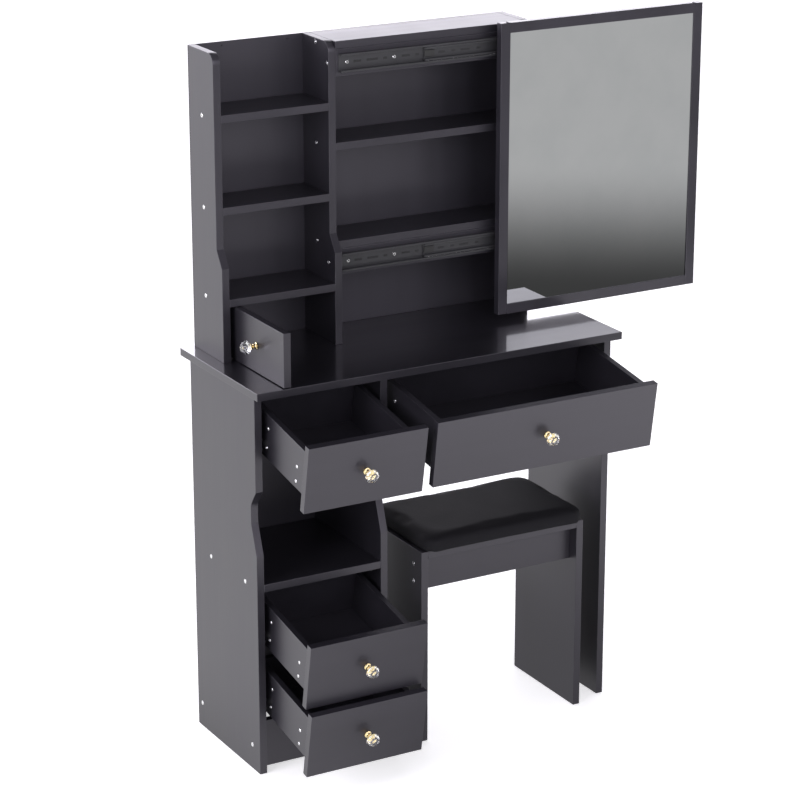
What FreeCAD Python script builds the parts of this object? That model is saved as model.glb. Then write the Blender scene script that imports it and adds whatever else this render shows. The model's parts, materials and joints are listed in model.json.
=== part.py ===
import FreeCAD, Part
import os
import re
import Sketcher
from FreeCAD import Placement, Rotation, Vector

# Vanity table with a shelf hutch, a mirror that slides sideways, four drawers, a small
# hinged door and a stool.  X runs along the desktop, -Y is the side a person sits at, Z is up.
# Every size is written in desk terms: X from the middle of the desktop, Y from its front
# edge, Z from the floor.  The finished model is then moved so that its origin lies on the
# floor under the middle of its outline.

# Driving sizes, in millimetres and degrees.
sizes = {
    "topWidth": (800, "desktop, left to right"),
    "topDepth": (330, "desktop, front to back"),
    "topHeight": (780, "floor to the desktop's upper face"),
    "board": (15, "thickness of every main board"),
    "backBoard": (3, "thickness of the hardboard backs and drawer bottoms"),
    "topOverhang": (7.5, "desktop past the side panels"),
    "panelInset": (28, "side panels behind the desktop's front edge"),
    "panelBackInset": (28, "side panels in front of the desktop's back edge"),
    "columnWidth": (251, "clear width of the left drawer column"),
    "scoopTop": (577, "height where the hand scoop in the panels begins"),
    "scoopBottom": (449, "height where the scoop ends"),
    "scoopDepth": (21, "how far the scoop goes in"),
    "scoopLead": (29, "height of the scoop's upper slope"),
    "scoopTail": (60, "height of the scoop's lower slope"),
    "scoopRound": (24, "radius of the scoop's corners"),
    "nicheShelfTop": (390, "upper face of the shelf under the open niche"),
    "plinthHeight": (96, "plinth boards"),
    "plinthRise": (2, "plinth boards above the floor"),
    "plinthSetback": (26, "front plinth behind the panel fronts"),
    "plinthInset": (11, "rear plinth in front of the panel backs"),
    "backRailHeight": (100, "stretcher under the desktop at the back"),
    "frontGap": (1.5, "drawer front to the panel beside it"),
    "frontGapTop": (3, "upper fronts below the desktop"),
    "frontGapShelf": (1, "middle front below the niche shelf"),
    "frontGapBetween": (4.5, "middle front above the lower front"),
    "frontHeight": (134, "drawer fronts"),
    "boxGap": (12.5, "drawer box side to the panel beside it"),
    "boxWall": (12, "drawer box sides and back"),
    "boxDepth": (240, "drawer box, front to back"),
    "boxBottomRise": (5, "drawer bottom above the lower edge of the sides"),
    "narrowBoxDrop": (23, "narrow boxes below the upper edge of their fronts"),
    "narrowBoxRise": (23, "narrow boxes above the lower edge of their fronts"),
    "wideBoxDrop": (9, "wide box below the upper edge of its front"),
    "wideBoxRise": (25, "wide box above the lower edge of its front"),
    "rollerRadius": (8, "roller at the back of each drawer side"),
    "rollerWidth": (7, "width of the roller"),
    "rollerInset": (10, "roller axle in front of the box's back end"),
    "rollerRise": (12, "roller axle above the lower edge of the box"),
    "axleRadius": (2.5, "roller axle"),
    "axleGrip": (8, "length of the axle inside the box side"),
    "runningGap": (0.05, "radial clearance of every turning pin"),
    "runnerWall": (1.5, "folded steel of the drawer runners"),
    "runnerGap": (0.5, "roller to the runner's flanges"),
    "runnerDepth": (10.5, "runner out from the panel"),
    "runnerStart": (2, "runner behind the closed drawer front"),
    "narrowTravel": (172, "narrow drawers, from shut to drawn out"),
    "narrowSag": (10.2, "angle that a drawn narrow drawer tips down by"),
    "wideTravel": (178, "wide drawer, from shut to drawn out"),
    "wideSag": (8.7, "angle that the drawn wide drawer tips down by"),
    "hutchInset": (29, "hutch in from the desktop's left edge"),
    "hutchBackInset": (3, "hutch in front of the desktop's back edge"),
    "hutchDepth": (108, "hutch at the top, back panel included"),
    "hutchStep": (21.4, "how much deeper the hutch is near the desktop"),
    "stepTop": (997, "height where the hutch panels begin to widen"),
    "stepBottom": (964, "height where they reach their full depth"),
    "hutchHeight": (1368, "floor to the top of the hutch"),
    "hutchCorner": (20, "radius of the panels' upper front corners"),
    "leftBay": (225, "clear width of the hutch's left bay"),
    "rightBay": (419, "clear width of the bay behind the mirror"),
    "leftShelfHigh": (1252, "upper face of the highest left shelf"),
    "leftShelfMiddle": (1076, "upper face of the middle left shelf"),
    "leftShelfLow": (903, "upper face of the lowest left shelf"),
    "rightShelfHigh": (1173, "upper face of the right bay's upper shelf"),
    "rightShelfLow": (980, "upper face of the right bay's lower shelf"),
    "railHeight": (52, "boards that carry the mirror slides"),
    "railProud": (0.5, "carrier boards in front of the hutch panels"),
    "slideHeight": (35, "telescopic slide"),
    "slideDepth": (12.5, "telescopic slide, closed section"),
    "slideLength": (400, "each member of the slide"),
    "slideStart": (6, "slide to the middle hutch panel"),
    "slideSteel": (1.2, "folded steel of the slide members"),
    "slidePlay": (0.7, "play between one member's web and the next"),
    "slideRace": (3.2, "ball race between two members"),
    "slideLip": (2.4, "turned-in lips that keep the members together"),
    "mirrorWidth": (470, "mirror frame, outside"),
    "mirrorHeight": (583, "mirror frame, outside"),
    "mirrorLift": (13, "mirror frame above the desktop"),
    "mirrorBar": (20, "face width of the frame bars"),
    "mirrorDepth": (16.5, "depth of the frame bars"),
    "mirrorClear": (1.1, "back of the frame to the deeper hutch panels"),
    "mirrorOverhang": (10, "shut mirror past the middle panel"),
    "mirrorTravel": (366, "mirror, from shut to slid aside"),
    "mirrorRabbet": (5, "step in the bars that holds the glass"),
    "mirrorLip": (2, "front lip of the bars over the glass"),
    "glassThick": (4, "mirror glass"),
    "battenHeight": (40, "battens between the mirror and its slides"),
    "doorGap": (1.5, "gap above, below and beside the small door"),
    "doorOpen": (90, "angle that the door stands open at"),
    "doorSwing": (0.5, "swinging edge of the door to the panel beside it"),
    "pivotInset": (20, "pivot pins in from the panel's inner face"),
    "pivotRadius": (2.5, "pivot pins"),
    "pivotInDoor": (12, "length of a pivot pin inside the door"),
    "pivotInBoard": (8, "length of a pivot pin inside the board above or below"),
    "pivotSpare": (0.5, "room past the end of a pivot pin"),
    "knobStem": (14, "length of the metal knob neck"),
    "knobFoot": (7, "radius of the knob's foot"),
    "knobNeck": (4, "radius of the knob's waist"),
    "knobCup": (8, "radius of the cup that holds the crystal"),
    "crystalRadius": (13, "crystal of the knob"),
    "crystalDepth": (18, "crystal, front to back"),
    "stoolLeft": (-50, "stool's left face"),
    "stoolWidth": (371, "stool over its leg panels"),
    "stoolFront": (4, "front of the stool's legs"),
    "stoolDepth": (228, "stool's leg panels, front to back"),
    "stoolHeight": (400, "floor to the top of the legs"),
    "stoolRailHeight": (72, "stool's long rails"),
    "stoolRailInset": (24, "long rails in from the legs' front and back"),
    "padThick": (34, "seat pad"),
    "padOverhang": (4, "pad past the legs, left and right"),
    "padFront": (24, "pad past the legs, front"),
    "padBack": (2, "pad in from the legs, back"),
    "padCorner": (26, "radius of the pad's corners"),
    "padLift": (0.4, "pad above the seat board"),
    "screwRadius": (2.5, "panel screws"),
    "screwLength": (40, "panel screws, head included"),
    "screwHead": (4.5, "radius of the screw heads"),
    "screwHeadThick": (3, "thickness of the screw heads"),
    "screwSink": (0.3, "play round a screw head in its seat"),
    "nicheScrewFront": (52, "front niche screws behind the panel fronts"),
    "nicheScrewBack": (74, "rear niche screws in front of the panel backs"),
    "bracketLeg": (18, "legs of the corner brackets"),
    "bracketWide": (16, "corner brackets along the panel"),
    "bracketThick": (1.5, "corner brackets"),
    "bracketPlace": (36, "front brackets behind the panel fronts"),
}

# Places that follow from the sizes above.
places = {
    "deskBottom": "topHeight - board",
    "panelLeft": "topOverhang - topWidth / 2",
    "panelRight": "topWidth / 2 - topOverhang - board",
    "columnLeft": "panelLeft + board",
    "dividerLeft": "columnLeft + columnWidth",
    "kneeLeft": "dividerLeft + board",
    "kneeWidth": "panelRight - kneeLeft",
    "panelBack": "topDepth - panelBackInset",
    "panelDepth": "panelBack - panelInset",
    "hutchLeft": "hutchInset - topWidth / 2",
    "bayLeft": "hutchLeft + board",
    "middleLeft": "bayLeft + leftBay",
    "bayRight": "middleLeft + board",
    "rightLeft": "bayRight + rightBay",
    "hutchBack": "topDepth - hutchBackInset",
    "hutchFront": "hutchBack - hutchDepth",
    "hutchInside": "hutchBack - backBoard",
    "hutchLowFront": "hutchFront - hutchStep",
    "shelfDepth": "hutchInside - hutchFront",
    "railFront": "hutchFront - railProud",
    "highRail": "hutchHeight - board - railHeight",
    "lowRail": "rightShelfLow - board - railHeight",
    "slideLeft": "bayRight + slideStart",
    "slideFront": "railFront - slideDepth",
    "mirrorBack": "hutchLowFront - mirrorClear",
    "mirrorFront": "mirrorBack - mirrorDepth",
    "mirrorLeft": "middleLeft - mirrorOverhang + mirrorTravel",
    "mirrorBottom": "topHeight + mirrorLift",
    "pivotX": "bayLeft + pivotInset",
    "pivotY": "hutchLowFront + board / 2",
    "doorLeft": "pivotX - sqrt((pivotInset - doorSwing) ^ 2 - (board / 2) ^ 2)",
    "doorWidth": "middleLeft - doorGap - doorLeft",
    "doorBottom": "topHeight + doorGap",
    "doorHeight": "leftShelfLow - board - topHeight - 2 * doorGap",
    "narrowBoxHeight": "frontHeight - narrowBoxRise - narrowBoxDrop",
    "wideBoxHeight": "frontHeight - wideBoxRise - wideBoxDrop",
    "boxStart": "panelInset + board",
    "axleY": "boxStart + boxDepth - rollerInset",
    "knobReach": "knobStem + crystalDepth",
    "originX": "(mirrorLeft + mirrorWidth - topWidth / 2) / 2",
    "originY": "(topDepth + axleY - wideTravel - (axleY - panelInset + knobReach) * cos(wideSag) "
               "- (frontHeight / 2 - wideBoxRise - rollerRise + crystalRadius) * sin(wideSag)) / 2",
}

doc = FreeCAD.newDocument("vanity_table")
sheet = doc.addObject("Spreadsheet::Sheet", "Sizes")
follow = doc.addObject("Spreadsheet::Sheet", "Places")


def formula(text):
    """Point each named value in a formula at its sheet."""
    def cell(match):
        word = match.group()
        if word in sizes:
            return "Sizes." + word
        if word in places:
            return "Places." + word
        return word
    return re.sub(r"[A-Za-z_]\w*", cell, text)


def fillSheets():
    for row, (name, (value, note)) in enumerate(sizes.items(), start=1):
        sheet.set("A%d" % row, name)
        sheet.set("B%d" % row, str(value))
        sheet.set("C%d" % row, note)
        sheet.setAlias("B%d" % row, name)
    doc.recompute()
    for row, (name, text) in enumerate(places.items(), start=1):
        follow.set("A%d" % row, name)
        follow.setAlias("B%d" % row, name)
        follow.set("B%d" % row, "=" + formula(text))
        doc.recompute()


fillSheets()

nodes = []

# Where a group of pieces stands.  A frame turns the pieces about a pivot and moves the
# pivot, so that a piece is always written as it lies when everything is shut.
still = {"axis": Vector(1, 0, 0), "turn": "0", "pivot": ("0", "0", "0"), "move": ("0", "0", "0")}
aside = dict(still, move=("mirrorTravel", "0", "0"))
halfAside = dict(still, move=("mirrorTravel / 2", "0", "0"))
opened = {"axis": Vector(0, 0, -1), "turn": "doorOpen", "pivot": ("pivotX", "pivotY", "0"),
          "move": ("0", "0", "0")}


def seat(piece, frame, x="0", y="0", z="0", spin=None):
    """Stand a piece, whose own zero lies at x, y, z when shut, where its frame puts it."""
    px, py, pz = frame["pivot"]
    mx, my, mz = frame["move"]
    dx, dy, dz = f"(({x}) - ({px}))", f"(({y}) - ({py}))", f"(({z}) - ({pz}))"
    cosine, sine = f"cos({frame['turn']})", f"sin({frame['turn']})"
    axis = frame["axis"]
    if axis.z:
        turned = (f"{cosine} * {dx} + {sine} * {dy}", f"{cosine} * {dy} - {sine} * {dx}", dz)
    else:
        turned = (dx, f"{cosine} * {dy} - {sine} * {dz}", f"{sine} * {dy} + {cosine} * {dz}")
    piece.Placement = Placement(Vector(), Rotation(axis, 1) if spin is None else spin)
    if spin is None:
        piece.setExpression("Placement.Rotation.Angle", formula(frame["turn"]))
    origin = ("originX", "originY", "0")
    for side, turn, pivot, move, shift in zip("xyz", turned, (px, py, pz), (mx, my, mz), origin):
        text = f"{turn} + ({pivot}) + ({move}) - ({shift})"
        piece.setExpression("Placement.Base." + side, formula(text))


def keep(label, piece):
    """Give a finished sub-part its name and list it for writing."""
    piece.Label = label
    nodes.append(piece)
    return piece


def child(kind, name, x="0", y="0", z="0", spin=None, **lengths):
    """A primitive that becomes part of a larger piece, in desk terms."""
    solid = doc.addObject(kind, name)
    for prop, text in lengths.items():
        solid.setExpression(prop, formula(text))
    if spin is not None:
        solid.Placement = Placement(Vector(), spin)
    for side, text in zip("xyz", (x, y, z)):
        solid.setExpression("Placement.Base." + side, formula(text))
    return solid


def block(name, x, y, z, length, depth, height):
    return child("Part::Box", name, x, y, z, Length=length, Width=depth, Height=height)


alongX = Rotation(Vector(0, 1, 0), 90)


def rod(name, x, y, z, radius, length):
    """A round bar that runs towards +X from x."""
    return child("Part::Cylinder", name, x, y, z, alongX, Radius=radius, Height=length)


def standing(name, x, y, z, radius, height):
    """A round bar that runs towards +Z from z."""
    return child("Part::Cylinder", name, x, y, z, Radius=radius, Height=height)


def joined(name, pieces):
    fuse = doc.addObject("Part::MultiFuse", name)
    fuse.Shapes = pieces
    return fuse


def cut(name, base, tools):
    if not tools:
        return base
    result = doc.addObject("Part::Cut", name)
    result.Base = base
    result.Tool = tools[0] if len(tools) == 1 else joined(name + "_tools", tools)
    return result


def group(label, pieces, frame=still):
    """Several separate solids that share one node."""
    bundle = doc.addObject("Part::Compound", label)
    bundle.Links = pieces
    seat(bundle, frame)
    return keep(label, bundle)


def plate(label, x, y, z, length, depth, height, frame=still):
    """A plain rectangular board as a sub-part of its own."""
    solid = doc.addObject("Part::Box", label)
    for prop, text in zip(("Length", "Width", "Height"), (length, depth, height)):
        solid.setExpression(prop, formula(text))
    seat(solid, frame, x, y, z)
    return keep(label, solid)


def outline(body, role, corners):
    """A closed sketch whose corners are held by named sizes."""
    sketch = body.newObject("Sketcher::SketchObject", "Sketch")
    plane = next(item for item in body.Origin.OriginFeatures if item.Role == role)
    sketch.AttachmentSupport = [(plane, "")]
    sketch.MapMode = "FlatFace"
    count = len(corners)
    start = [Rotation(Vector(0, 0, 1), 360 * i / count).multVec(Vector(100, 0, 0)) for i in range(count)]
    for i in range(count):
        sketch.addGeometry(Part.LineSegment(start[i], start[(i + 1) % count]), False)
    for i in range(count):
        sketch.addConstraint(Sketcher.Constraint("Coincident", i, 2, (i + 1) % count, 1))
    for i, (across, up) in enumerate(corners):
        for kind, text, value in (("DistanceX", across, start[i].x), ("DistanceY", up, start[i].y)):
            number = sketch.addConstraint(Sketcher.Constraint(kind, -1, 1, i, 1, value))
            sketch.setExpression("Constraints[%d]" % number, formula(text))
    return sketch


def padded(name, role, corners, length, away=False):
    """A body extruded from an outline."""
    body = doc.addObject("PartDesign::Body", name)
    sketch = outline(body, role, corners)
    pad = body.newObject("PartDesign::Pad", "Pad")
    pad.Profile = sketch
    pad.setExpression("Length", formula(length))
    pad.Reversed = away
    doc.recompute()
    return body


def edgesNear(shape, points):
    """Names of the edges whose middles lie nearest to the given points."""
    found = []
    for point in points:
        gaps = [(edge.CenterOfMass - point).Length for edge in shape.Edges]
        found.append("Edge%d" % (gaps.index(min(gaps)) + 1))
    return found


def roundEdges(body, points, radius):
    """Fillet the body's edges that pass by the given points."""
    base = body.Tip
    fillet = body.newObject("PartDesign::Fillet", "Fillet")
    fillet.Base = (base, edgesNear(base.Shape, points))
    fillet.setExpression("Radius", formula(radius))
    body.Tip = fillet
    doc.recompute()


def number(name):
    """The present value of a named size or place."""
    return getattr(sheet if name in sizes else follow, name)


# ---- panel screws: one row per joint, as (outer face X, sign towards the board, Y, Z) ----

def deskScrews():
    """Every screw of the desk: the panel it goes through, where it stands, the board it holds."""
    shelfMiddle = "hutchFront + shelfDepth / 2"
    shelves = [("left_upper_shelves", "leftShelfHigh"), ("left_upper_shelves", "leftShelfMiddle"),
               ("left_lower_shelf", "leftShelfLow")]
    nicheZ, plinthZ = "nicheShelfTop - board / 2", "plinthRise + plinthHeight / 2"
    rows = []
    for board, y, z in (
            ("niche_shelf", "panelInset + nicheScrewFront", nicheZ),
            ("niche_shelf", "panelBack - nicheScrewBack", nicheZ),
            ("plinth_boards", "panelInset + plinthSetback + board / 2", plinthZ),
            ("plinth_boards", "panelBack - plinthInset - board / 2", plinthZ)):
        rows.append(("left_side_panel", "panelLeft", 1, y, z, board))
        rows.append(("divider_panel", "kneeLeft", -1, y, z, board))
    for z in ("deskBottom - backRailHeight / 4", "deskBottom - 3 * backRailHeight / 4"):
        rows.append(("right_side_panel", "panelRight + board", -1, "panelBack - board / 2", z, "back_rail"))
    for board, top in shelves:
        rows.append(("hutch_left_panel", "hutchLeft", 1, shelfMiddle, top + " - board / 2", board))
    for board, top in (("right_shelves", "rightShelfHigh"), ("right_shelves", "rightShelfLow"),
                       ("hutch_top_panel", "hutchHeight")):
        rows.append(("hutch_middle_panel", "middleLeft", 1, shelfMiddle, top + " - board / 2", board))
        rows.append(("hutch_right_panel", "rightLeft + board", -1, shelfMiddle, top + " - board / 2", board))
    for low in ("highRail", "lowRail"):
        z = low + " + railHeight / 2"
        rows.append(("hutch_middle_panel", "middleLeft", 1, "railFront + board / 2", z, "slide_rail_boards"))
        rows.append(("hutch_right_panel", "rightLeft + board", -1, "railFront + board / 2", z,
                     "slide_rail_boards"))
    return rows


def stoolScrews():
    """Two screws through each leg panel into each end of the long rails."""
    rows = []
    for y in ("stoolFront + stoolRailInset + board / 2", "stoolFront + stoolDepth - stoolRailInset - board / 2"):
        for part in (1, 3):
            z = f"stoolHeight - board - {part} * stoolRailHeight / 4"
            rows.append(("stool_leg_panels", "stoolLeft", 1, y, z, "stool_rails"))
            rows.append(("stool_leg_panels", "stoolLeft + stoolWidth", -1, y, z, "stool_rails"))
    return rows


def screwTool(i, row, loose):
    """The screw itself, or the hole that it needs."""
    panel, face, way, y, z, board = row
    play = "runningGap" if loose else "0"
    seatPlay = "screwSink" if loose else "0"
    shank = rod(f"shank_{i}_{loose}", f"{face} - {(1 - way) // 2} * screwLength", y, z,
                f"screwRadius + {play}", "screwLength")
    head = rod(f"head_{i}_{loose}", f"{face} - {(1 - way) // 2} * screwHeadThick", y, z,
               f"screwHead + {seatPlay}", "screwHeadThick")
    return joined(f"screw_{i}_{loose}", [shank, head])


screws = deskScrews() + stoolScrews()


def drilled(name, base):
    """Cut every screw hole that belongs to a panel or a board."""
    tools = [screwTool(f"{name}_{i}", row, True) for i, row in enumerate(screws) if name in (row[0], row[5])]
    return cut(name + "_drilled", base, tools)


def drilledNode(name, base, frame=still):
    solid = drilled(name, base)
    seat(solid, frame)
    return keep(name, solid)


# ---- desk ----

def pivotBore(name, z):
    """The hole that a pivot pin of the small door turns in."""
    return standing(name, "pivotX", "pivotY", z, "pivotRadius + runningGap", "pivotInBoard + pivotSpare")


def desktop():
    board = block("desktop_board", "-topWidth / 2", "0", "deskBottom", "topWidth", "topDepth", "board")
    bored = cut("desktop_bored", board, [pivotBore("desktop_bore", "topHeight - pivotInBoard - pivotSpare")])
    drilledNode("desktop", bored)


def scoopedPanel(name, left):
    """An upright panel with the hand scoop in its front edge."""
    corners = [("panelInset", "0"), ("panelBack", "0"), ("panelBack", "deskBottom"),
               ("panelInset", "deskBottom"), ("panelInset", "scoopTop"),
               ("panelInset + scoopDepth", "scoopTop - scoopLead"),
               ("panelInset + scoopDepth", "scoopBottom + scoopTail"), ("panelInset", "scoopBottom")]
    body = padded(name + "_body", "YZ_Plane", corners, "board")
    middle = number("board") / 2
    inner = number("panelInset") + number("scoopDepth")
    outer = number("panelInset")
    high, low = number("scoopTop") - number("scoopLead"), number("scoopBottom") + number("scoopTail")
    roundEdges(body, [Vector(middle, inner, high), Vector(middle, inner, low),
                      Vector(middle, outer, number("scoopBottom"))], "scoopRound")
    body.setExpression("Placement.Base.x", formula(left))
    drilledNode(name, body)


def deskFrame():
    desktop()
    scoopedPanel("left_side_panel", "panelLeft")
    scoopedPanel("divider_panel", "dividerLeft")
    right = block("right_body", "panelRight", "panelInset", "0", "board", "panelDepth", "deskBottom")
    drilledNode("right_side_panel", right)
    shelf = block("niche_body", "columnLeft", "panelInset", "nicheShelfTop - board",
                  "columnWidth", "panelDepth", "board")
    drilledNode("niche_shelf", shelf)
    plinths = [block(f"plinth_{place}", "columnLeft", y, "plinthRise", "columnWidth", "board", "plinthHeight")
               for place, y in (("front", "panelInset + plinthSetback"),
                                ("back", "panelBack - plinthInset - board"))]
    group("plinth_boards", [drilled("plinth_boards", joined("plinth_pair", plinths))])
    rail = block("rail_body", "kneeLeft", "panelBack - board", "deskBottom - backRailHeight",
                 "kneeWidth", "board", "backRailHeight")
    drilledNode("back_rail", rail)
    plate("desk_back_panel", "panelLeft + board / 2", "panelBack", "plinthRise",
          "columnWidth + board", "backBoard", "deskBottom - plinthRise")


def cornerBrackets():
    """Folded steel angles under the desktop and under the niche shelf."""
    corners = [("columnLeft", 1, "deskBottom"), ("dividerLeft", -1, "deskBottom"),
               ("kneeLeft", 1, "deskBottom"), ("panelRight", -1, "deskBottom"),
               ("dividerLeft", -1, "nicheShelfTop - board")]
    angles = []
    for i, (face, way, top) in enumerate(corners):
        y = "panelInset + bracketPlace"
        back = (1 - way) // 2
        flat = block(f"flat_{i}", f"{face} - {back} * bracketLeg", y, f"{top} - bracketThick",
                     "bracketLeg", "bracketWide", "bracketThick")
        upright = block(f"upright_{i}", f"{face} - {back} * bracketThick", y, f"{top} - bracketLeg",
                        "bracketThick", "bracketWide", "bracketLeg")
        angles.append(joined(f"angle_{i}", [flat, upright]))
    group("corner_brackets", angles)


# ---- hutch ----

def roundedTop(body, depthName):
    """Round the upper front corner of a hutch panel."""
    corner = Vector(number("board") / 2, number(depthName), number("hutchHeight"))
    roundEdges(body, [corner], "hutchCorner")


def steppedPanel(name, left):
    """A hutch panel that widens towards the desktop."""
    corners = [("hutchLowFront", "topHeight"), ("hutchInside", "topHeight"), ("hutchInside", "hutchHeight"),
               ("hutchFront", "hutchHeight"), ("hutchFront", "stepTop"), ("hutchLowFront", "stepBottom")]
    body = padded(name + "_body", "YZ_Plane", corners, "board")
    roundedTop(body, "hutchFront")
    body.setExpression("Placement.Base.x", formula(left))
    drilledNode(name, body)


def straightPanel(name, left):
    """The hutch panel behind the mirror, which the slides pass in front of."""
    corners = [("hutchFront", "topHeight"), ("hutchInside", "topHeight"), ("hutchInside", "hutchHeight"),
               ("hutchFront", "hutchHeight")]
    body = padded(name + "_body", "YZ_Plane", corners, "board")
    roundedTop(body, "hutchFront")
    body.setExpression("Placement.Base.x", formula(left))
    drilledNode(name, body)


def shelf(name, left, width, top, front="hutchFront"):
    return block(name, left, front, f"{top} - board", width, f"hutchInside - ({front})", "board")


def hutch():
    steppedPanel("hutch_left_panel", "hutchLeft")
    steppedPanel("hutch_middle_panel", "middleLeft")
    straightPanel("hutch_right_panel", "rightLeft")
    drilledNode("hutch_top_panel", shelf("top_body", "bayRight", "rightBay", "hutchHeight"))
    plate("hutch_back_panel", "hutchLeft", "hutchInside", "topHeight", "rightLeft + board - hutchLeft",
          "backBoard", "hutchHeight - topHeight")
    upper = [shelf("left_" + top, "bayLeft", "leftBay", top) for top in ("leftShelfHigh", "leftShelfMiddle")]
    group("left_upper_shelves", [drilled("left_upper_shelves", joined("left_pair", upper))])
    low = shelf("left_low", "bayLeft", "leftBay", "leftShelfLow", "hutchLowFront")
    drilledNode("left_lower_shelf", cut("left_low_bored", low, [pivotBore("shelf_bore", "leftShelfLow - board")]))
    right = [shelf("right_" + top, "bayRight", "rightBay", top) for top in ("rightShelfHigh", "rightShelfLow")]
    group("right_shelves", [drilled("right_shelves", joined("right_pair", right))])
    rails = [block("carrier_" + low, "bayRight", "railFront", low, "rightBay", "board", "railHeight")
             for low in ("highRail", "lowRail")]
    group("slide_rail_boards", [drilled("slide_rail_boards", joined("carriers", rails))])


def screwNode(label, rows):
    group(label, [screwTool(f"{label}_{i}", row, False) for i, row in enumerate(rows)])


# ---- telescopic slides: three members, one inside the next ----

def channel(name, web, half, tip, way, lip):
    """Half-open section in the YZ plane: a web, two flanges and, if asked, two lips.

    web is the flat's outer face, half the outer half height, tip where the flanges end,
    way the side that the section opens to (-1 towards -Y, 1 towards +Y)."""
    s = f"{way} * slideSteel"
    inner = f"({half} - slideSteel)"
    if lip:
        upper = [(tip, half), (tip, f"{inner} - slideLip"), (f"{tip} - {s}", f"{inner} - slideLip"),
                 (f"{tip} - {s}", inner), (f"{web} + {s}", inner)]
    else:
        upper = [(tip, half), (tip, inner), (f"{web} + {s}", inner)]
    lower = [(y, f"-({z})") for y, z in reversed(upper)]
    corners = [(web, half)] + upper + lower + [(web, f"-({half})")]
    return padded(name, "YZ_Plane", corners, "slideLength")


def slideSet(label, frame, web, half, tip, way, lip):
    """The same member for the upper and the lower slide."""
    pair = []
    for low in ("highRail", "lowRail"):
        member = channel(f"{label}_{low}", web, half, tip, way, lip)
        member.setExpression("Placement.Base.x", formula("slideLeft"))
        member.setExpression("Placement.Base.z", formula(f"{low} + railHeight / 2"))
        pair.append(member)
    group(label, pair, frame)


def telescopicSlides():
    outerHalf = "slideHeight / 2"
    middleHalf = f"({outerHalf} - slideSteel - slideRace)"
    innerHalf = f"({middleHalf} - slideSteel - slideRace)"
    middleWeb = "(railFront - slideSteel - slidePlay)"
    middleTip = "(slideFront + slideSteel + slidePlay)"
    slideSet("slide_outer_members", still, "railFront", outerHalf, "(slideFront + slidePlay)", -1, True)
    slideSet("slide_middle_members", halfAside, middleWeb, middleHalf, middleTip, -1, True)
    slideSet("slide_inner_members", aside, "slideFront", innerHalf, "(railFront - 5 * slideSteel)", 1, False)


# ---- mirror ----

def frameBar(name, x, z, length, height, inX, inZ):
    """A bar with a front lip over the glass; inX and inZ say where the lip stands proud."""
    lip = block(name + "_lip", x, "mirrorFront", z, length, "mirrorLip", height)
    left = "mirrorRabbet" if inX < 0 else "0"
    low = "mirrorRabbet" if inZ < 0 else "0"
    body = block(name + "_bar", f"{x} + {left}", "mirrorFront + mirrorLip", f"{z} + {low}",
                 f"{length} - {'mirrorRabbet' if inX else '0'}", "mirrorDepth - mirrorLip",
                 f"{height} - {'mirrorRabbet' if inZ else '0'}")
    return joined(name, [lip, body])


def mirror():
    shutLeft = "(mirrorLeft - mirrorTravel)"
    inside = "(mirrorWidth - 2 * mirrorBar)"
    bars = [
        frameBar("bar_left", shutLeft, "mirrorBottom", "mirrorBar", "mirrorHeight", 1, 0),
        frameBar("bar_right", f"{shutLeft} + mirrorWidth - mirrorBar", "mirrorBottom", "mirrorBar",
                 "mirrorHeight", -1, 0),
        frameBar("bar_low", f"{shutLeft} + mirrorBar", "mirrorBottom", inside, "mirrorBar", 0, 1),
        frameBar("bar_high", f"{shutLeft} + mirrorBar", "mirrorBottom + mirrorHeight - mirrorBar",
                 inside, "mirrorBar", 0, -1),
    ]
    group("mirror_frame", bars, aside)
    edge = "(mirrorBar - mirrorRabbet)"
    pane = (f"{shutLeft} + {edge}", f"mirrorWidth - 2 * {edge}", f"mirrorHeight - 2 * {edge}")
    plate("mirror_glass", pane[0], "mirrorFront + mirrorLip", f"mirrorBottom + {edge}",
          pane[1], "glassThick", pane[2], aside)
    plate("mirror_backing_board", pane[0], "mirrorFront + mirrorLip + glassThick", f"mirrorBottom + {edge}",
          pane[1], "mirrorDepth - mirrorLip - glassThick", pane[2], aside)
    battens = [block("batten_" + low, "slideLeft", "mirrorBack", f"{low} + (railHeight - battenHeight) / 2",
                     "slideLength", "slideFront - mirrorBack", "battenHeight") for low in ("highRail", "lowRail")]
    group("mirror_battens", battens, aside)


# ---- small door ----

def door():
    """The small door and the two pins, above and below, that it turns on."""
    board = block("door_board", "doorLeft", "hutchLowFront", "doorBottom", "doorWidth", "board", "doorHeight")
    doorTop = "doorBottom + doorHeight"
    bores = [standing(name, "pivotX", "pivotY", z, "pivotRadius + runningGap", "pivotInDoor + pivotSpare")
             for name, z in (("door_bore_low", "doorBottom"),
                             ("door_bore_high", f"{doorTop} - pivotInDoor - pivotSpare"))]
    panel = cut("door_bored", board, bores)
    seat(panel, opened)
    keep("door_panel", panel)
    length = "pivotInDoor + doorGap + pivotInBoard"
    pins = [standing(name, "pivotX", "pivotY", z, "pivotRadius", length)
            for name, z in (("pivot_low", "topHeight - pivotInBoard"),
                            ("pivot_high", f"{doorTop} - pivotInDoor"))]
    group("door_pivot_pins", pins, opened)
    knob("door", opened, "doorLeft + doorWidth / 2", "hutchLowFront", "doorBottom + doorHeight / 2")


# ---- knobs ----

def turned(name, corners):
    """A body spun about its own Y axis from a half outline."""
    body = doc.addObject("PartDesign::Body", name)
    sketch = outline(body, "XY_Plane", corners)
    spin = body.newObject("PartDesign::Revolution", "Revolution")
    spin.Profile = sketch
    spin.ReferenceAxis = (sketch, ["V_Axis"])
    spin.Angle = 360
    doc.recompute()
    return body


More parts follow.
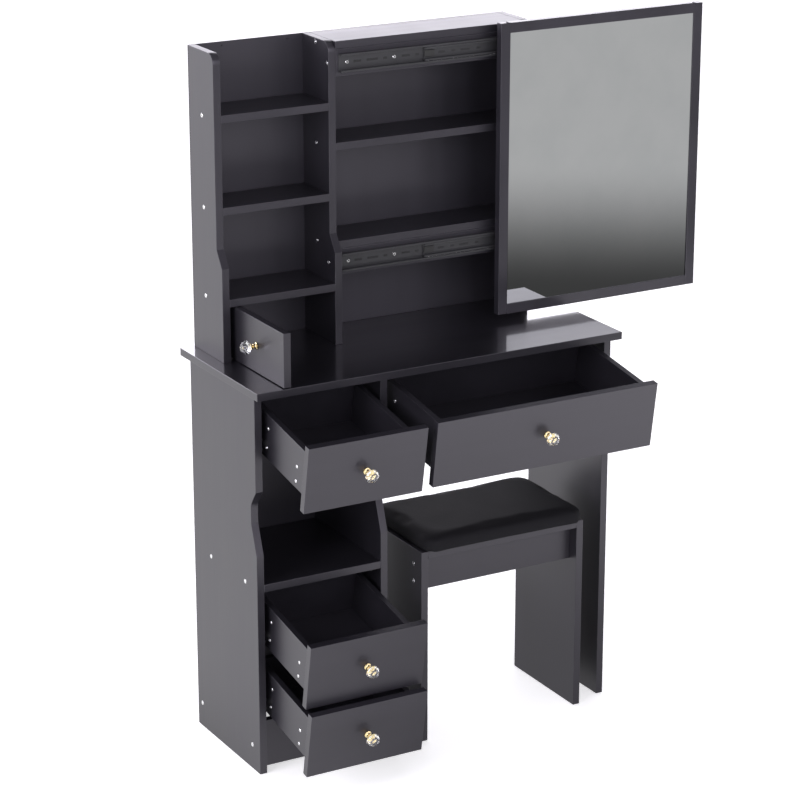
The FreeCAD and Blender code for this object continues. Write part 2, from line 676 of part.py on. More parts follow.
def knob(owner, frame, x, y, z):
    """Metal neck and clear crystal, standing out from a face towards -Y."""
    stem = turned(owner + "_stem", [
        ("0", "0"), ("knobFoot", "0"), ("knobFoot", "-knobStem / 6"), ("knobNeck", "-knobStem / 3"),
        ("knobNeck", "-knobStem * 0.6"), ("knobCup", "-knobStem"), ("0", "-knobStem")])
    seat(stem, frame, x, y, z)
    keep(owner + "_knob_stem", stem)
    crystal = turned(owner + "_crystal", [
        ("0", "-knobStem"), ("knobCup * 0.8", "-knobStem"), ("crystalRadius", "-knobStem - crystalDepth * 0.45"),
        ("crystalRadius * 0.95", "-knobStem - crystalDepth * 0.65"), ("crystalRadius * 0.6", "-knobReach"),
        ("0", "-knobReach")])
    seat(crystal, frame, x, y, z)
    keep(owner + "_knob_crystal", crystal)


# ---- drawers ----

upperFrontLow = "(deskBottom - frontGapTop - frontHeight)"
middleFrontLow = "(nicheShelfTop - board - frontGapShelf - frontHeight)"
lowerFrontLow = "(nicheShelfTop - board - frontGapShelf - frontGapBetween - 2 * frontHeight)"

narrow = {"left": "columnLeft", "width": "columnWidth", "height": "narrowBoxHeight",
          "rise": "narrowBoxRise", "travel": "narrowTravel", "sag": "narrowSag"}
drawers = [
    dict(narrow, name="upper_drawer", low=upperFrontLow),
    {"name": "wide_drawer", "left": "kneeLeft", "width": "kneeWidth", "low": upperFrontLow,
     "height": "wideBoxHeight", "rise": "wideBoxRise", "travel": "wideTravel", "sag": "wideSag"},
    dict(narrow, name="middle_drawer", low=middleFrontLow),
    dict(narrow, name="lower_drawer", low=lowerFrontLow),
]


def drawer(spec):
    """One drawer, written shut, drawn out and tipped about its rear rollers by its frame."""
    name, left, width = spec["name"], spec["left"], spec["width"]
    low = f"({spec['low']} + {spec['rise']})"
    axleZ = f"({low} + rollerRise)"
    out = ("0", "-" + spec["travel"], "0")
    drawn = {"axis": Vector(1, 0, 0), "turn": spec["sag"], "pivot": ("0", "axleY", axleZ), "move": out}
    rolled = dict(still, move=out)
    plate(name + "_front", f"{left} + frontGap", "panelInset", spec["low"], f"{width} - 2 * frontGap",
          "board", "frontHeight", drawn)
    inner = f"({width} - 2 * boxGap - 2 * boxWall)"
    sides, rollers = [], []
    for side, x, boreX, rollerX, axleX in (
            ("left", f"{left} + boxGap", f"{left} + boxGap", f"{left} + runnerWall + runnerGap",
             f"{left} + runnerWall + runnerGap"),
            ("right", f"{left} + {width} - boxGap - boxWall", f"{left} + {width} - boxGap - axleGrip",
             f"{left} + {width} - runnerWall - runnerGap - rollerWidth",
             f"{left} + {width} - boxGap - axleGrip")):
        wall = block(f"{name}_{side}_wall", x, "boxStart", low, "boxWall", "boxDepth", spec["height"])
        bore = rod(f"{name}_{side}_bore", boreX, "axleY", axleZ, "axleRadius + runningGap", "axleGrip")
        sides.append(cut(f"{name}_{side}", wall, [bore]))
        roller = rod(f"{name}_{side}_roller", rollerX, "axleY", axleZ, "rollerRadius", "rollerWidth")
        axle = rod(f"{name}_{side}_axle", axleX, "axleY", axleZ, "axleRadius",
                   "boxGap - runnerWall - runnerGap + axleGrip")
        rollers.append(joined(f"{name}_{side}_wheel", [roller, axle]))
    rear = block(name + "_rear", f"{left} + boxGap + boxWall", "boxStart + boxDepth - boxWall", low,
                 inner, "boxWall", spec["height"])
    group(name + "_box_walls", sides + [rear], drawn)
    plate(name + "_box_bottom", f"{left} + boxGap + boxWall", "boxStart", f"{low} + boxBottomRise", inner,
          "boxDepth - boxWall", "backBoard", drawn)
    group(name + "_rear_rollers", rollers, rolled)
    knob(name, drawn, f"{left} + {width} / 2", "panelInset", f"{spec['low']} + frontHeight / 2")
    return axleZ


def drawerRunners(axles):
    """Folded channels on the panels, one each side of every drawer."""
    channels = []
    half = "(rollerRadius + runnerGap + runnerWall)"
    start = "boxStart + runnerStart"
    length = "(panelBack - board - runnerStart - boxStart - runnerStart)"
    for spec, axleZ in zip(drawers, axles):
        for side, x, hollowX in (
                ("left", spec["left"], f"{spec['left']} + runnerWall"),
                ("right", f"{spec['left']} + {spec['width']} - runnerDepth",
                 f"{spec['left']} + {spec['width']} - runnerDepth")):
            name = f"{spec['name']}_{side}_runner"
            bar = block(name + "_bar", x, start, f"{axleZ} - {half}", "runnerDepth", length, f"2 * {half}")
            hollow = block(name + "_hollow", hollowX, start, f"{axleZ} - {half} + runnerWall",
                           "runnerDepth - runnerWall", length, f"2 * {half} - 2 * runnerWall")
            channels.append(cut(name, bar, [hollow]))
    group("drawer_runners", channels)


# ---- stool ----

def stool():
    right = "stoolLeft + stoolWidth - board"
    legs = [block(f"stool_leg_{i}", x, "stoolFront", "0", "board", "stoolDepth", "stoolHeight")
            for i, x in enumerate(("stoolLeft", right))]
    group("stool_leg_panels", [drilled("stool_leg_panels", joined("stool_leg_pair", legs))])
    inner = "stoolWidth - 2 * board"
    railLow = "stoolHeight - board - stoolRailHeight"
    rails = [block(f"stool_rail_{i}", "stoolLeft + board", y, railLow, inner, "board", "stoolRailHeight")
             for i, y in enumerate(("stoolFront + stoolRailInset",
                                    "stoolFront + stoolDepth - stoolRailInset - board"))]
    group("stool_rails", [drilled("stool_rails", joined("stool_rail_pair", rails))])
    plate("stool_seat_board", "stoolLeft + board", "stoolFront", "stoolHeight - board",
          inner, "stoolDepth", "board")
    screwNode("stool_screws", stoolScrews())
    seatPad()


def seatPad():
    left, right = "stoolLeft - padOverhang", "stoolLeft + stoolWidth + padOverhang"
    front, back = "stoolFront - padFront", "stoolFront + stoolDepth - padBack"
    corners = [(left, front), (right, front), (right, back), (left, back)]
    body = padded("stool_seat_pad", "XY_Plane", corners, "padThick")
    shape = body.Tip.Shape
    box = shape.BoundBox
    middle = number("padThick") / 2
    roundEdges(body, [Vector(x, y, middle) for x in (box.XMin, box.XMax) for y in (box.YMin, box.YMax)],
               "padCorner")
    seat(body, still, z="stoolHeight + padLift")
    keep("stool_seat_pad", body)


def build():
    deskFrame()
    cornerBrackets()
    hutch()
    screwNode("panel_screws", deskScrews())
    telescopicSlides()
    mirror()
    door()
    drawerRunners([drawer(spec) for spec in drawers])
    stool()
    doc.recompute()


def check():
    """Stop if any object failed or any sub-part is not a sound solid."""
    for item in doc.Objects:
        if "Invalid" in item.State or "Error" in item.State:
            raise RuntimeError(f"{item.Name} failed: {item.State}")
    for piece in nodes:
        shape = piece.Shape
        if shape.isNull() or not shape.isValid() or not shape.Solids:
            raise RuntimeError(f"{piece.Label} is not a valid solid")


def write():
    os.makedirs("parts", exist_ok=True)
    for piece in nodes:
        piece.Shape.exportStep(f"parts/{piece.Label}.step")
        box = piece.Shape.BoundBox
        print(f"{piece.Label}: {len(piece.Shape.Solids)} solid(s), {piece.Shape.Volume / 1000:.1f} cm3, "
              f"x {box.XMin:.1f}..{box.XMax:.1f} y {box.YMin:.1f}..{box.YMax:.1f} "
              f"z {box.ZMin:.1f}..{box.ZMax:.1f}")
    print(len(nodes), "sub-parts")


build()
check()
write()
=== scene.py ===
import bpy
import bmesh
import json
import math
from mathutils import Matrix, Vector

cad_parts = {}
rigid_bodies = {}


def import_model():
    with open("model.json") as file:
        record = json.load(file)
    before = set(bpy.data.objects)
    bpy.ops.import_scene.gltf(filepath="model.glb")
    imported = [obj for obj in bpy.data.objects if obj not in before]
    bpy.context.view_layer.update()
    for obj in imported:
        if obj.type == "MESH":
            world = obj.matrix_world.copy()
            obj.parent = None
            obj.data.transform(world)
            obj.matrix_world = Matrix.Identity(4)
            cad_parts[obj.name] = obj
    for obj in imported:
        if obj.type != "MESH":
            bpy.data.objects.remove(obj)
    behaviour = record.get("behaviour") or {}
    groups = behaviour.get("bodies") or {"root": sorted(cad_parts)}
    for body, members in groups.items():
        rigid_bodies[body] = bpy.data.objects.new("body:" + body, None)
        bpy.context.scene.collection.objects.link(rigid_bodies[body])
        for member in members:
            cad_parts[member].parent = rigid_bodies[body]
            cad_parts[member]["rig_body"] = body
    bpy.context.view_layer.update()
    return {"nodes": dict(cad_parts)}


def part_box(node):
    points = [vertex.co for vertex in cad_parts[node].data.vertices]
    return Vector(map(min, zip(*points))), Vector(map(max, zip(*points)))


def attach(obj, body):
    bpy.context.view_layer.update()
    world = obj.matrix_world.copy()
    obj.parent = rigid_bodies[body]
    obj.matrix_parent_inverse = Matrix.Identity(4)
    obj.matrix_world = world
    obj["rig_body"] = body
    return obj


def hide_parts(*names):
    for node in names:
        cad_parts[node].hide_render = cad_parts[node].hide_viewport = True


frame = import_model()
nodes = frame["nodes"]
scene = bpy.context.scene
print("frame loaded,", len(nodes), "nodes")

drawerNames = ("upper_drawer", "wide_drawer", "middle_drawer", "lower_drawer")

# camera

cameraView = {
    "place": (-2.7152, -4.4555, 2.387),
    "turn": -29.38,
    "tilt": 18.33,
    "lens": 126.5,
}


def makeCamera():
    data = bpy.data.cameras.new("tableCamera")
    camera = bpy.data.objects.new("tableCamera", data)
    scene.collection.objects.link(camera)
    camera.location = cameraView["place"]
    camera.rotation_euler = (math.radians(90 - cameraView["tilt"]), 0, math.radians(cameraView["turn"]))
    data.lens = cameraView["lens"]
    data.sensor_width = 36
    data.clip_end = 100
    scene.camera = camera


makeCamera()
print("camera set")

# shader groups shared by the finishes


def addNode(tree, kind, place=(0, 0), **values):
    node = tree.nodes.new(kind)
    node.location = place
    for name, value in values.items():
        if hasattr(node, name):
            setattr(node, name, value)
        else:
            node.inputs[name.replace("_", " ")].default_value = value
    return node


def newGroup(name, inputs, outputs):
    group = bpy.data.node_groups.new(name, "ShaderNodeTree")
    for label, kind, value in inputs:
        socket = group.interface.new_socket(name=label, in_out="INPUT", socket_type=kind)
        if value is not None:
            socket.default_value = value
    for label, kind in outputs:
        group.interface.new_socket(name=label, in_out="OUTPUT", socket_type=kind)
    group.nodes.new("NodeGroupInput").location = (-900, 0)
    group.nodes.new("NodeGroupOutput").location = (700, 0)
    return group, group.nodes["Group Input"], group.nodes["Group Output"]


def boardPrint():
    # printed wood pores and a faint cloudiness of a melamine sheet
    group, come, go = newGroup(
        "boardPrint",
        [("Vector", "NodeSocketVector", None), ("Along", "NodeSocketVector", (1, 1, 1)),
         ("Dark", "NodeSocketColor", (0.01, 0.01, 0.012, 1)),
         ("Light", "NodeSocketColor", (0.02, 0.02, 0.022, 1)),
         ("Gloss", "NodeSocketFloat", 0.35), ("Depth", "NodeSocketFloat", 1.0)],
        [("Color", "NodeSocketColor"), ("Roughness", "NodeSocketFloat"), ("Height", "NodeSocketFloat")])
    link = group.links.new
    squeeze = addNode(group, "ShaderNodeVectorMath", (-700, 100), operation="MULTIPLY")
    link(come.outputs["Vector"], squeeze.inputs[0])
    link(come.outputs["Along"], squeeze.inputs[1])
    pores = addNode(group, "ShaderNodeTexNoise", (-500, 200), Scale=260.0, Detail=4.0, Roughness=0.62)
    link(squeeze.outputs[0], pores.inputs["Vector"])
    bands = addNode(group, "ShaderNodeTexNoise", (-500, -50), Scale=34.0, Detail=3.0, Roughness=0.5)
    link(squeeze.outputs[0], bands.inputs["Vector"])
    cloud = addNode(group, "ShaderNodeTexNoise", (-500, -300), Scale=5.0, Detail=2.0, Roughness=0.5)
    link(come.outputs["Vector"], cloud.inputs["Vector"])
    sharpen = addNode(group, "ShaderNodeMapRange", (-300, 200))
    sharpen.inputs["From Min"].default_value = 0.42
    sharpen.inputs["From Max"].default_value = 0.66
    link(pores.outputs["Fac"], sharpen.inputs["Value"])
    blend = addNode(group, "ShaderNodeMath", (-100, 60), operation="MULTIPLY_ADD")
    link(bands.outputs["Fac"], blend.inputs[0])
    blend.inputs[1].default_value = 0.7
    link(cloud.outputs["Fac"], blend.inputs[2])
    share = addNode(group, "ShaderNodeMapRange", (60, 60))
    share.inputs["From Min"].default_value = 0.55
    share.inputs["From Max"].default_value = 1.15
    link(blend.outputs[0], share.inputs["Value"])
    tint = addNode(group, "ShaderNodeMix", (260, 120), data_type="RGBA")
    link(share.outputs["Result"], tint.inputs[0])
    link(come.outputs["Dark"], tint.inputs[6])
    link(come.outputs["Light"], tint.inputs[7])
    link(tint.outputs[2], go.inputs["Color"])
    rough = addNode(group, "ShaderNodeMath", (260, -100), operation="MULTIPLY_ADD")
    link(share.outputs["Result"], rough.inputs[0])
    rough.inputs[1].default_value = 0.07
    link(come.outputs["Gloss"], rough.inputs[2])
    link(rough.outputs[0], go.inputs["Roughness"])
    deep = addNode(group, "ShaderNodeMath", (260, -280), operation="MULTIPLY")
    link(sharpen.outputs["Result"], deep.inputs[0])
    link(come.outputs["Depth"], deep.inputs[1])
    link(deep.outputs[0], go.inputs["Height"])
    return group


def edgeRub():
    # corners where the paper or paint has rubbed a little lighter
    group, come, go = newGroup(
        "edgeRub",
        [("Vector", "NodeSocketVector", None), ("Edge", "NodeSocketFloat", 0.0),
         ("Color", "NodeSocketColor", (0.01, 0.01, 0.012, 1)),
         ("Rubbed", "NodeSocketColor", (0.06, 0.06, 0.065, 1)),
         ("Roughness", "NodeSocketFloat", 0.3), ("Amount", "NodeSocketFloat", 0.6)],
        [("Color", "NodeSocketColor"), ("Roughness", "NodeSocketFloat")])
    link = group.links.new
    patchy = addNode(group, "ShaderNodeTexNoise", (-600, 150), Scale=28.0, Detail=5.0, Roughness=0.7)
    link(come.outputs["Vector"], patchy.inputs["Vector"])
    spread = addNode(group, "ShaderNodeMapRange", (-400, 150))
    spread.inputs["From Min"].default_value = 0.38
    spread.inputs["From Max"].default_value = 0.7
    link(patchy.outputs["Fac"], spread.inputs["Value"])
    mask = addNode(group, "ShaderNodeMath", (-200, 150), operation="MULTIPLY")
    link(spread.outputs["Result"], mask.inputs[0])
    link(come.outputs["Edge"], mask.inputs[1])
    amount = addNode(group, "ShaderNodeMath", (0, 150), operation="MULTIPLY")
    link(mask.outputs[0], amount.inputs[0])
    link(come.outputs["Amount"], amount.inputs[1])
    tint = addNode(group, "ShaderNodeMix", (200, 120), data_type="RGBA")
    link(amount.outputs[0], tint.inputs[0])
    link(come.outputs["Color"], tint.inputs[6])
    link(come.outputs["Rubbed"], tint.inputs[7])
    link(tint.outputs[2], go.inputs["Color"])
    rough = addNode(group, "ShaderNodeMath", (200, -100), operation="MULTIPLY_ADD")
    link(amount.outputs[0], rough.inputs[0])
    rough.inputs[1].default_value = 0.15
    link(come.outputs["Roughness"], rough.inputs[2])
    link(rough.outputs[0], go.inputs["Roughness"])
    return group


def fineSpeck():
    # small dust and handling marks: a mask and a height
    group, come, go = newGroup(
        "fineSpeck",
        [("Vector", "NodeSocketVector", None), ("Scale", "NodeSocketFloat", 400.0)],
        [("Mask", "NodeSocketFloat"), ("Height", "NodeSocketFloat")])
    link = group.links.new
    grit = addNode(group, "ShaderNodeTexNoise", (-500, 100), Detail=4.0, Roughness=0.6)
    link(come.outputs["Vector"], grit.inputs["Vector"])
    link(come.outputs["Scale"], grit.inputs["Scale"])
    smear = addNode(group, "ShaderNodeTexNoise", (-500, -150), Scale=9.0, Detail=3.0, Roughness=0.55)
    link(come.outputs["Vector"], smear.inputs["Vector"])
    share = addNode(group, "ShaderNodeMapRange", (-250, -150))
    share.inputs["From Min"].default_value = 0.4
    share.inputs["From Max"].default_value = 0.7
    link(smear.outputs["Fac"], share.inputs["Value"])
    link(share.outputs["Result"], go.inputs["Mask"])
    link(grit.outputs["Fac"], go.inputs["Height"])
    return group


printGroup = boardPrint()
rubGroup = edgeRub()
speckGroup = fineSpeck()


def startMaterial(name):
    material = bpy.data.materials.new(name)
    material.use_nodes = True
    tree = material.node_tree
    shader = tree.nodes["Principled BSDF"]
    place = addNode(tree, "ShaderNodeTexCoord", (-1100, 0))
    return material, tree, shader, place.outputs["Object"]


def useGroup(tree, group, place, vector, **values):
    node = tree.nodes.new("ShaderNodeGroup")
    node.node_tree = group
    node.location = place
    tree.links.new(vector, node.inputs["Vector"])
    for name, value in values.items():
        node.inputs[name].default_value = value
    return node


def bumpInto(tree, shader, height, strength, distance):
    bump = addNode(tree, "ShaderNodeBump", (-250, -350), Strength=strength, Distance=distance)
    tree.links.new(height, bump.inputs["Height"])
    tree.links.new(bump.outputs["Normal"], shader.inputs["Normal"])


# board finishes

boardLook = {
    "dark": (0.0085, 0.008, 0.0105, 1),
    "light": (0.014, 0.0132, 0.017, 1),
    "rubbed": (0.05, 0.049, 0.055, 1),
    "gloss": 0.36,
    "sheen": (0.94, 0.9, 1.0, 1),
    "shine": 0.66,
    "rubAmount": 0.55,
    "pore": 0.00006,
    "poreStrength": 0.35,
    "coatGloss": 0.08,
}


def boardFinish(name, along, gloss=boardLook["gloss"], lift=1.0, coat=0.0):
    material, tree, shader, vector = startMaterial(name)
    link = tree.links.new
    dark = tuple(c * lift for c in boardLook["dark"][:3]) + (1,)
    light = tuple(c * lift for c in boardLook["light"][:3]) + (1,)
    sheet = useGroup(tree, printGroup, (-850, 150), vector,
                     Along=along, Dark=dark, Light=light, Gloss=gloss)
    rub = useGroup(tree, rubGroup, (-550, 150), vector,
                   Rubbed=boardLook["rubbed"], Amount=boardLook["rubAmount"])
    edge = addNode(tree, "ShaderNodeAttribute", (-850, -100), attribute_name="wear")
    link(edge.outputs["Fac"], rub.inputs["Edge"])
    link(sheet.outputs["Color"], rub.inputs["Color"])
    link(sheet.outputs["Roughness"], rub.inputs["Roughness"])
    link(rub.outputs["Color"], shader.inputs["Base Color"])
    link(rub.outputs["Roughness"], shader.inputs["Roughness"])
    bumpInto(tree, shader, sheet.outputs["Height"], boardLook["poreStrength"], boardLook["pore"])
    shader.inputs["Specular IOR Level"].default_value = boardLook["shine"]
    shader.inputs["Specular Tint"].default_value = boardLook["sheen"]
    shader.inputs["Coat Roughness"].default_value = boardLook["coatGloss"]
    if coat:
        # only the upper face is lacquered, the edge band is plain
        place = addNode(tree, "ShaderNodeTexCoord", (-850, -500))
        facing = addNode(tree, "ShaderNodeSeparateXYZ", (-650, -500))
        lacquer = addNode(tree, "ShaderNodeMath", (-450, -500), operation="MULTIPLY", use_clamp=True)
        lacquer.inputs[1].default_value = coat
        link(place.outputs["Normal"], facing.inputs[0])
        link(facing.outputs["Z"], lacquer.inputs[0])
        link(lacquer.outputs[0], shader.inputs["Coat Weight"])
    return material


uprightGrain = (1, 1, 0.05)
longGrain = (0.05, 1, 1)
deepGrain = (1, 0.05, 1)
boardUpright = boardFinish("blackBoardUpright", uprightGrain)
boardLong = boardFinish("blackBoardLong", longGrain)
boardDeep = boardFinish("blackBoardDeep", deepGrain)
boardFront = boardFinish("blackDrawerFront", longGrain, gloss=0.33, lift=1.15)
boardTop = boardFinish("blackDesktop", longGrain, gloss=0.3, coat=0.95)
boardFrame = boardFinish("blackMirrorFrame", uprightGrain, gloss=0.3, lift=1.3)
hardboard = boardFinish("blackHardboard", uprightGrain, gloss=0.4, lift=1.2)


metalLook = {"speck": 300.0, "dull": 0.78, "bump": 0.00002, "bumpStrength": 0.2}


def metalFinish(name, color, roughness, metallic=1.0, scratch=0.08):
    material, tree, shader, vector = startMaterial(name)
    link = tree.links.new
    speck = useGroup(tree, speckGroup, (-800, 0), vector, Scale=metalLook["speck"])
    tone = addNode(tree, "ShaderNodeMix", (-500, 150), data_type="RGBA")
    tone.inputs[6].default_value = (*color, 1)
    tone.inputs[7].default_value = (*[c * metalLook["dull"] for c in color], 1)
    link(speck.outputs["Mask"], tone.inputs[0])
    link(tone.outputs[2], shader.inputs["Base Color"])
    rough = addNode(tree, "ShaderNodeMath", (-500, -60), operation="MULTIPLY_ADD")
    rough.inputs[1].default_value = scratch
    rough.inputs[2].default_value = roughness
    link(speck.outputs["Height"], rough.inputs[0])
    link(rough.outputs[0], shader.inputs["Roughness"])
    shader.inputs["Metallic"].default_value = metallic
    bumpInto(tree, shader, speck.outputs["Height"], metalLook["bumpStrength"], metalLook["bump"])
    return material


brightScrew = metalFinish("brightScrew", (0.82, 0.82, 0.83), 0.22)
blackSteel = metalFinish("blackSteel", (0.035, 0.035, 0.038), 0.33, metallic=0.25, scratch=0.12)
# near-black steel for the door pins and back tacks; the same colour also paints the shade inside the slides'
# punched slots
slotShadeAndDarkSteel = metalFinish("slotShadeAndDarkSteelFinish", (0.012, 0.012, 0.013), 0.45, metallic=0.2)
paleNylon = metalFinish("paleNylon", (0.62, 0.62, 0.6), 0.45, metallic=0.0)
blackNylon = metalFinish("blackNylon", (0.012, 0.012, 0.012), 0.5, metallic=0.0)
brassNeck = metalFinish("brassNeck", (0.88, 0.72, 0.4), 0.14, scratch=0.1)
steelBall = metalFinish("steelBall", (0.7, 0.7, 0.7), 0.12)


crystalLook = {
    "speck": 900.0,
    "clean": (1.0, 1.0, 1.0, 1),
    "handled": (0.93, 0.95, 0.97, 1),
    "roughness": 0.03,
    "ior": 1.6,
}


def crystalFinish():
    material, tree, shader, vector = startMaterial("clearCrystal")
    speck = useGroup(tree, speckGroup, (-800, 0), vector, Scale=crystalLook["speck"])
    tone = addNode(tree, "ShaderNodeMix", (-500, 150), data_type="RGBA")
    tone.inputs[6].default_value = crystalLook["clean"]
    tone.inputs[7].default_value = crystalLook["handled"]
    tree.links.new(speck.outputs["Mask"], tone.inputs[0])
    tree.links.new(tone.outputs[2], shader.inputs["Base Color"])
    rough = addNode(tree, "ShaderNodeMath", (-500, -60), operation="MULTIPLY")
    rough.inputs[1].default_value = crystalLook["roughness"]
    tree.links.new(speck.outputs["Height"], rough.inputs[0])
    tree.links.new(rough.outputs[0], shader.inputs["Roughness"])
    shader.inputs["Transmission Weight"].default_value = 1.0
    shader.inputs["IOR"].default_value = crystalLook["ior"]
    return material


mirrorLook = {
    "smear": 60.0,
    "silver": (0.8, 0.81, 0.82, 1),
    "smeared": (0.76, 0.775, 0.785, 1),
    "roughness": 0.01,
}


def mirrorFinish():
    material, tree, shader, vector = startMaterial("silveredGlass")
    speck = useGroup(tree, speckGroup, (-800, 0), vector, Scale=mirrorLook["smear"])
    tone = addNode(tree, "ShaderNodeMix", (-500, 150), data_type="RGBA")
    tone.inputs[6].default_value = mirrorLook["silver"]
    tone.inputs[7].default_value = mirrorLook["smeared"]
    tree.links.new(speck.outputs["Mask"], tone.inputs[0])
    tree.links.new(tone.outputs[2], shader.inputs["Base Color"])
    rough = addNode(tree, "ShaderNodeMath", (-500, -60), operation="MULTIPLY_ADD")
    rough.inputs[1].default_value = mirrorLook["roughness"]
    rough.inputs[2].default_value = mirrorLook["roughness"]
    tree.links.new(speck.outputs["Mask"], rough.inputs[0])
    tree.links.new(rough.outputs[0], shader.inputs["Roughness"])
    shader.inputs["Metallic"].default_value = 1.0
    return material


leatherLook = {
    "cells": 520.0,
    "folds": 22.0,
    "cellDepth": 0.6,
    "dark": (0.0075, 0.0073, 0.0085, 1),
    "light": (0.0125, 0.0122, 0.014, 1),
    "roughness": (0.74, 0.9),
    "bump": 0.0004,
    "bumpStrength": 0.5,
    "shine": 0.1,
}


def leatheretteFinish():
    # pebbled black vinyl: rounded cells with fine creases between them
    material, tree, shader, vector = startMaterial("blackLeatherette")
    link = tree.links.new
    cells = addNode(tree, "ShaderNodeTexVoronoi", (-850, 150), Scale=leatherLook["cells"])
    cells.feature = "SMOOTH_F1"
    link(vector, cells.inputs["Vector"])
    folds = addNode(tree, "ShaderNodeTexNoise", (-850, -100),
                    Scale=leatherLook["folds"], Detail=4.0, Roughness=0.6)
    link(vector, folds.inputs["Vector"])
    mixed = addNode(tree, "ShaderNodeMath", (-600, 0), operation="MULTIPLY_ADD")
    mixed.inputs[1].default_value = leatherLook["cellDepth"]
    link(cells.outputs["Distance"], mixed.inputs[0])
    link(folds.outputs["Fac"], mixed.inputs[2])
    tone = addNode(tree, "ShaderNodeMix", (-350, 200), data_type="RGBA")
    tone.inputs[6].default_value = leatherLook["dark"]
    tone.inputs[7].default_value = leatherLook["light"]
    link(folds.outputs["Fac"], tone.inputs[0])
    link(tone.outputs[2], shader.inputs["Base Color"])
    rough = addNode(tree, "ShaderNodeMapRange", (-350, -50))
    rough.inputs["To Min"].default_value, rough.inputs["To Max"].default_value = leatherLook["roughness"]
    link(folds.outputs["Fac"], rough.inputs["Value"])
    link(rough.outputs["Result"], shader.inputs["Roughness"])
    bumpInto(tree, shader, mixed.outputs[0], leatherLook["bumpStrength"], leatherLook["bump"])
    shader.inputs["Specular IOR Level"].default_value = leatherLook["shine"]
    return material


clearCrystal = crystalFinish()
silveredGlass = mirrorFinish()
blackLeatherette = leatheretteFinish()
print("finishes made")

# helpers for pieces


def addPiece(name, mesh, body, material, smooth=None):
    piece = bpy.data.objects.new(name, mesh)
    scene.collection.objects.link(piece)
    mesh.materials.clear()
    for item in material if isinstance(material, (list, tuple)) else [material]:
        mesh.materials.append(item)
    if smooth is not None:
        mesh.shade_smooth()
        mesh.set_sharp_from_angle(angle=math.radians(smooth))
    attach(piece, body)
    return piece


weldGap = 0.00001  # corners closer than this are one


def meshFrom(bm, name, weld=weldGap):
    if weld:
        bmesh.ops.remove_doubles(bm, verts=bm.verts, dist=weld)
    bmesh.ops.recalc_face_normals(bm, faces=bm.faces)
    mesh = bpy.data.meshes.new(name)
    bm.to_mesh(mesh)
    bm.free()
    return mesh


def bodyOf(nodeName):
    return nodes[nodeName]["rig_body"]


softening = {"edge": 0.0007, "steel": 0.00025, "sharp": 35, "flat": 0.5, "shortest": 0.0025, "segments": 2}


def softenedBoard(nodeName, material, edge=softening["edge"]):
    # the board with its arrises taken off, and the taken-off strips marked for rubbing
    bm = bmesh.new()
    bm.from_mesh(nodes[nodeName].data)
    bmesh.ops.remove_doubles(bm, verts=bm.verts, dist=weldGap)
    bmesh.ops.dissolve_limit(bm, angle_limit=math.radians(softening["flat"]),
                             verts=bm.verts, edges=bm.edges)
    wear = bm.faces.layers.float.new("wear")
    limit = math.radians(softening["sharp"])
    arrises = [e for e in bm.edges if len(e.link_faces) == 2 and e.calc_face_angle(0) > limit
               and e.calc_length() > softening["shortest"]]
    made = bmesh.ops.bevel(bm, geom=arrises, affect="EDGES", offset=edge, offset_type="OFFSET",
                           segments=softening["segments"], profile=0.5, material=-1, clamp_overlap=True)
    for face in made["faces"]:
        face[wear] = 1.0
    mesh = meshFrom(bm, nodeName + "_board", weld=0)
    piece = addPiece(nodeName + "_board", mesh, bodyOf(nodeName), material)
    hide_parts(nodeName)


boardMaterials = {
    "desktop": boardTop,
    "left_side_panel": boardUpright, "divider_panel": boardUpright, "right_side_panel": boardUpright,
    "niche_shelf": boardLong, "plinth_boards": boardLong, "back_rail": boardLong,
    "desk_back_panel": hardboard, "hutch_back_panel": hardboard,
    "hutch_left_panel": boardUpright, "hutch_middle_panel": boardUpright, "hutch_right_panel": boardUpright,
    "hutch_top_panel": boardLong, "left_upper_shelves": boardLong, "left_lower_shelf": boardLong,
    "right_shelves": boardLong, "slide_rail_boards": boardLong, "mirror_frame": boardFrame,
    "mirror_backing_board": hardboard, "mirror_battens": boardLong, "door_panel": boardUpright,
    "stool_seat_board": boardLong, "stool_leg_panels": boardUpright, "stool_rails": boardLong,
}
for owner in drawerNames:
    boardMaterials[owner + "_front"] = boardFront
    boardMaterials[owner + "_box_walls"] = boardDeep
    boardMaterials[owner + "_box_bottom"] = hardboard

for nodeName, material in boardMaterials.items():
    softenedBoard(nodeName, material)

steelMaterials = {
    "slide_outer_members": blackSteel, "slide_middle_members": blackSteel, "slide_inner_members": blackSteel,
    "drawer_runners": blackSteel, "corner_brackets": brightScrew,
}
for nodeName, material in steelMaterials.items():
    softenedBoard(nodeName, material, softening["steel"])
print("pieces softened:", len(boardMaterials) + len(steelMaterials))

# plain frame parts that keep their own shape

plainMaterials = {
    "door_pivot_pins": slotShadeAndDarkSteel, "mirror_glass": silveredGlass,
}
for owner in drawerNames:
    plainMaterials[owner + "_rear_rollers"] = paleNylon

for nodeName, material in plainMaterials.items():
    nodes[nodeName].data.materials.clear()
    nodes[nodeName].data.materials.append(material)

# knobs: brass neck and cut crystal

knobCut = {
    "length": 0.032,
    "sides": 10,
    "back": (0.0050, 0.0135),
    "lowerCut": (0.0105, 0.0172),
    "girdle": (0.0130, 0.0205),
    "girdleTop": (0.01287, 0.0225),
    "upperCut": (0.0109, 0.0272),
    "table": (0.0072, 0.0313),
    "foot": 0.0070,
    "waist": 0.0036,
}


def faceNormal(board, towards):
    # the way the board's broad face looks on the side of a given point
    mesh = nodes[board].data
    broad = max(mesh.polygons, key=lambda face: face.area)
    low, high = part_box(board)
    normal = broad.normal.copy()
    return normal if normal.dot(towards - (low + high) / 2) > 0 else -normal


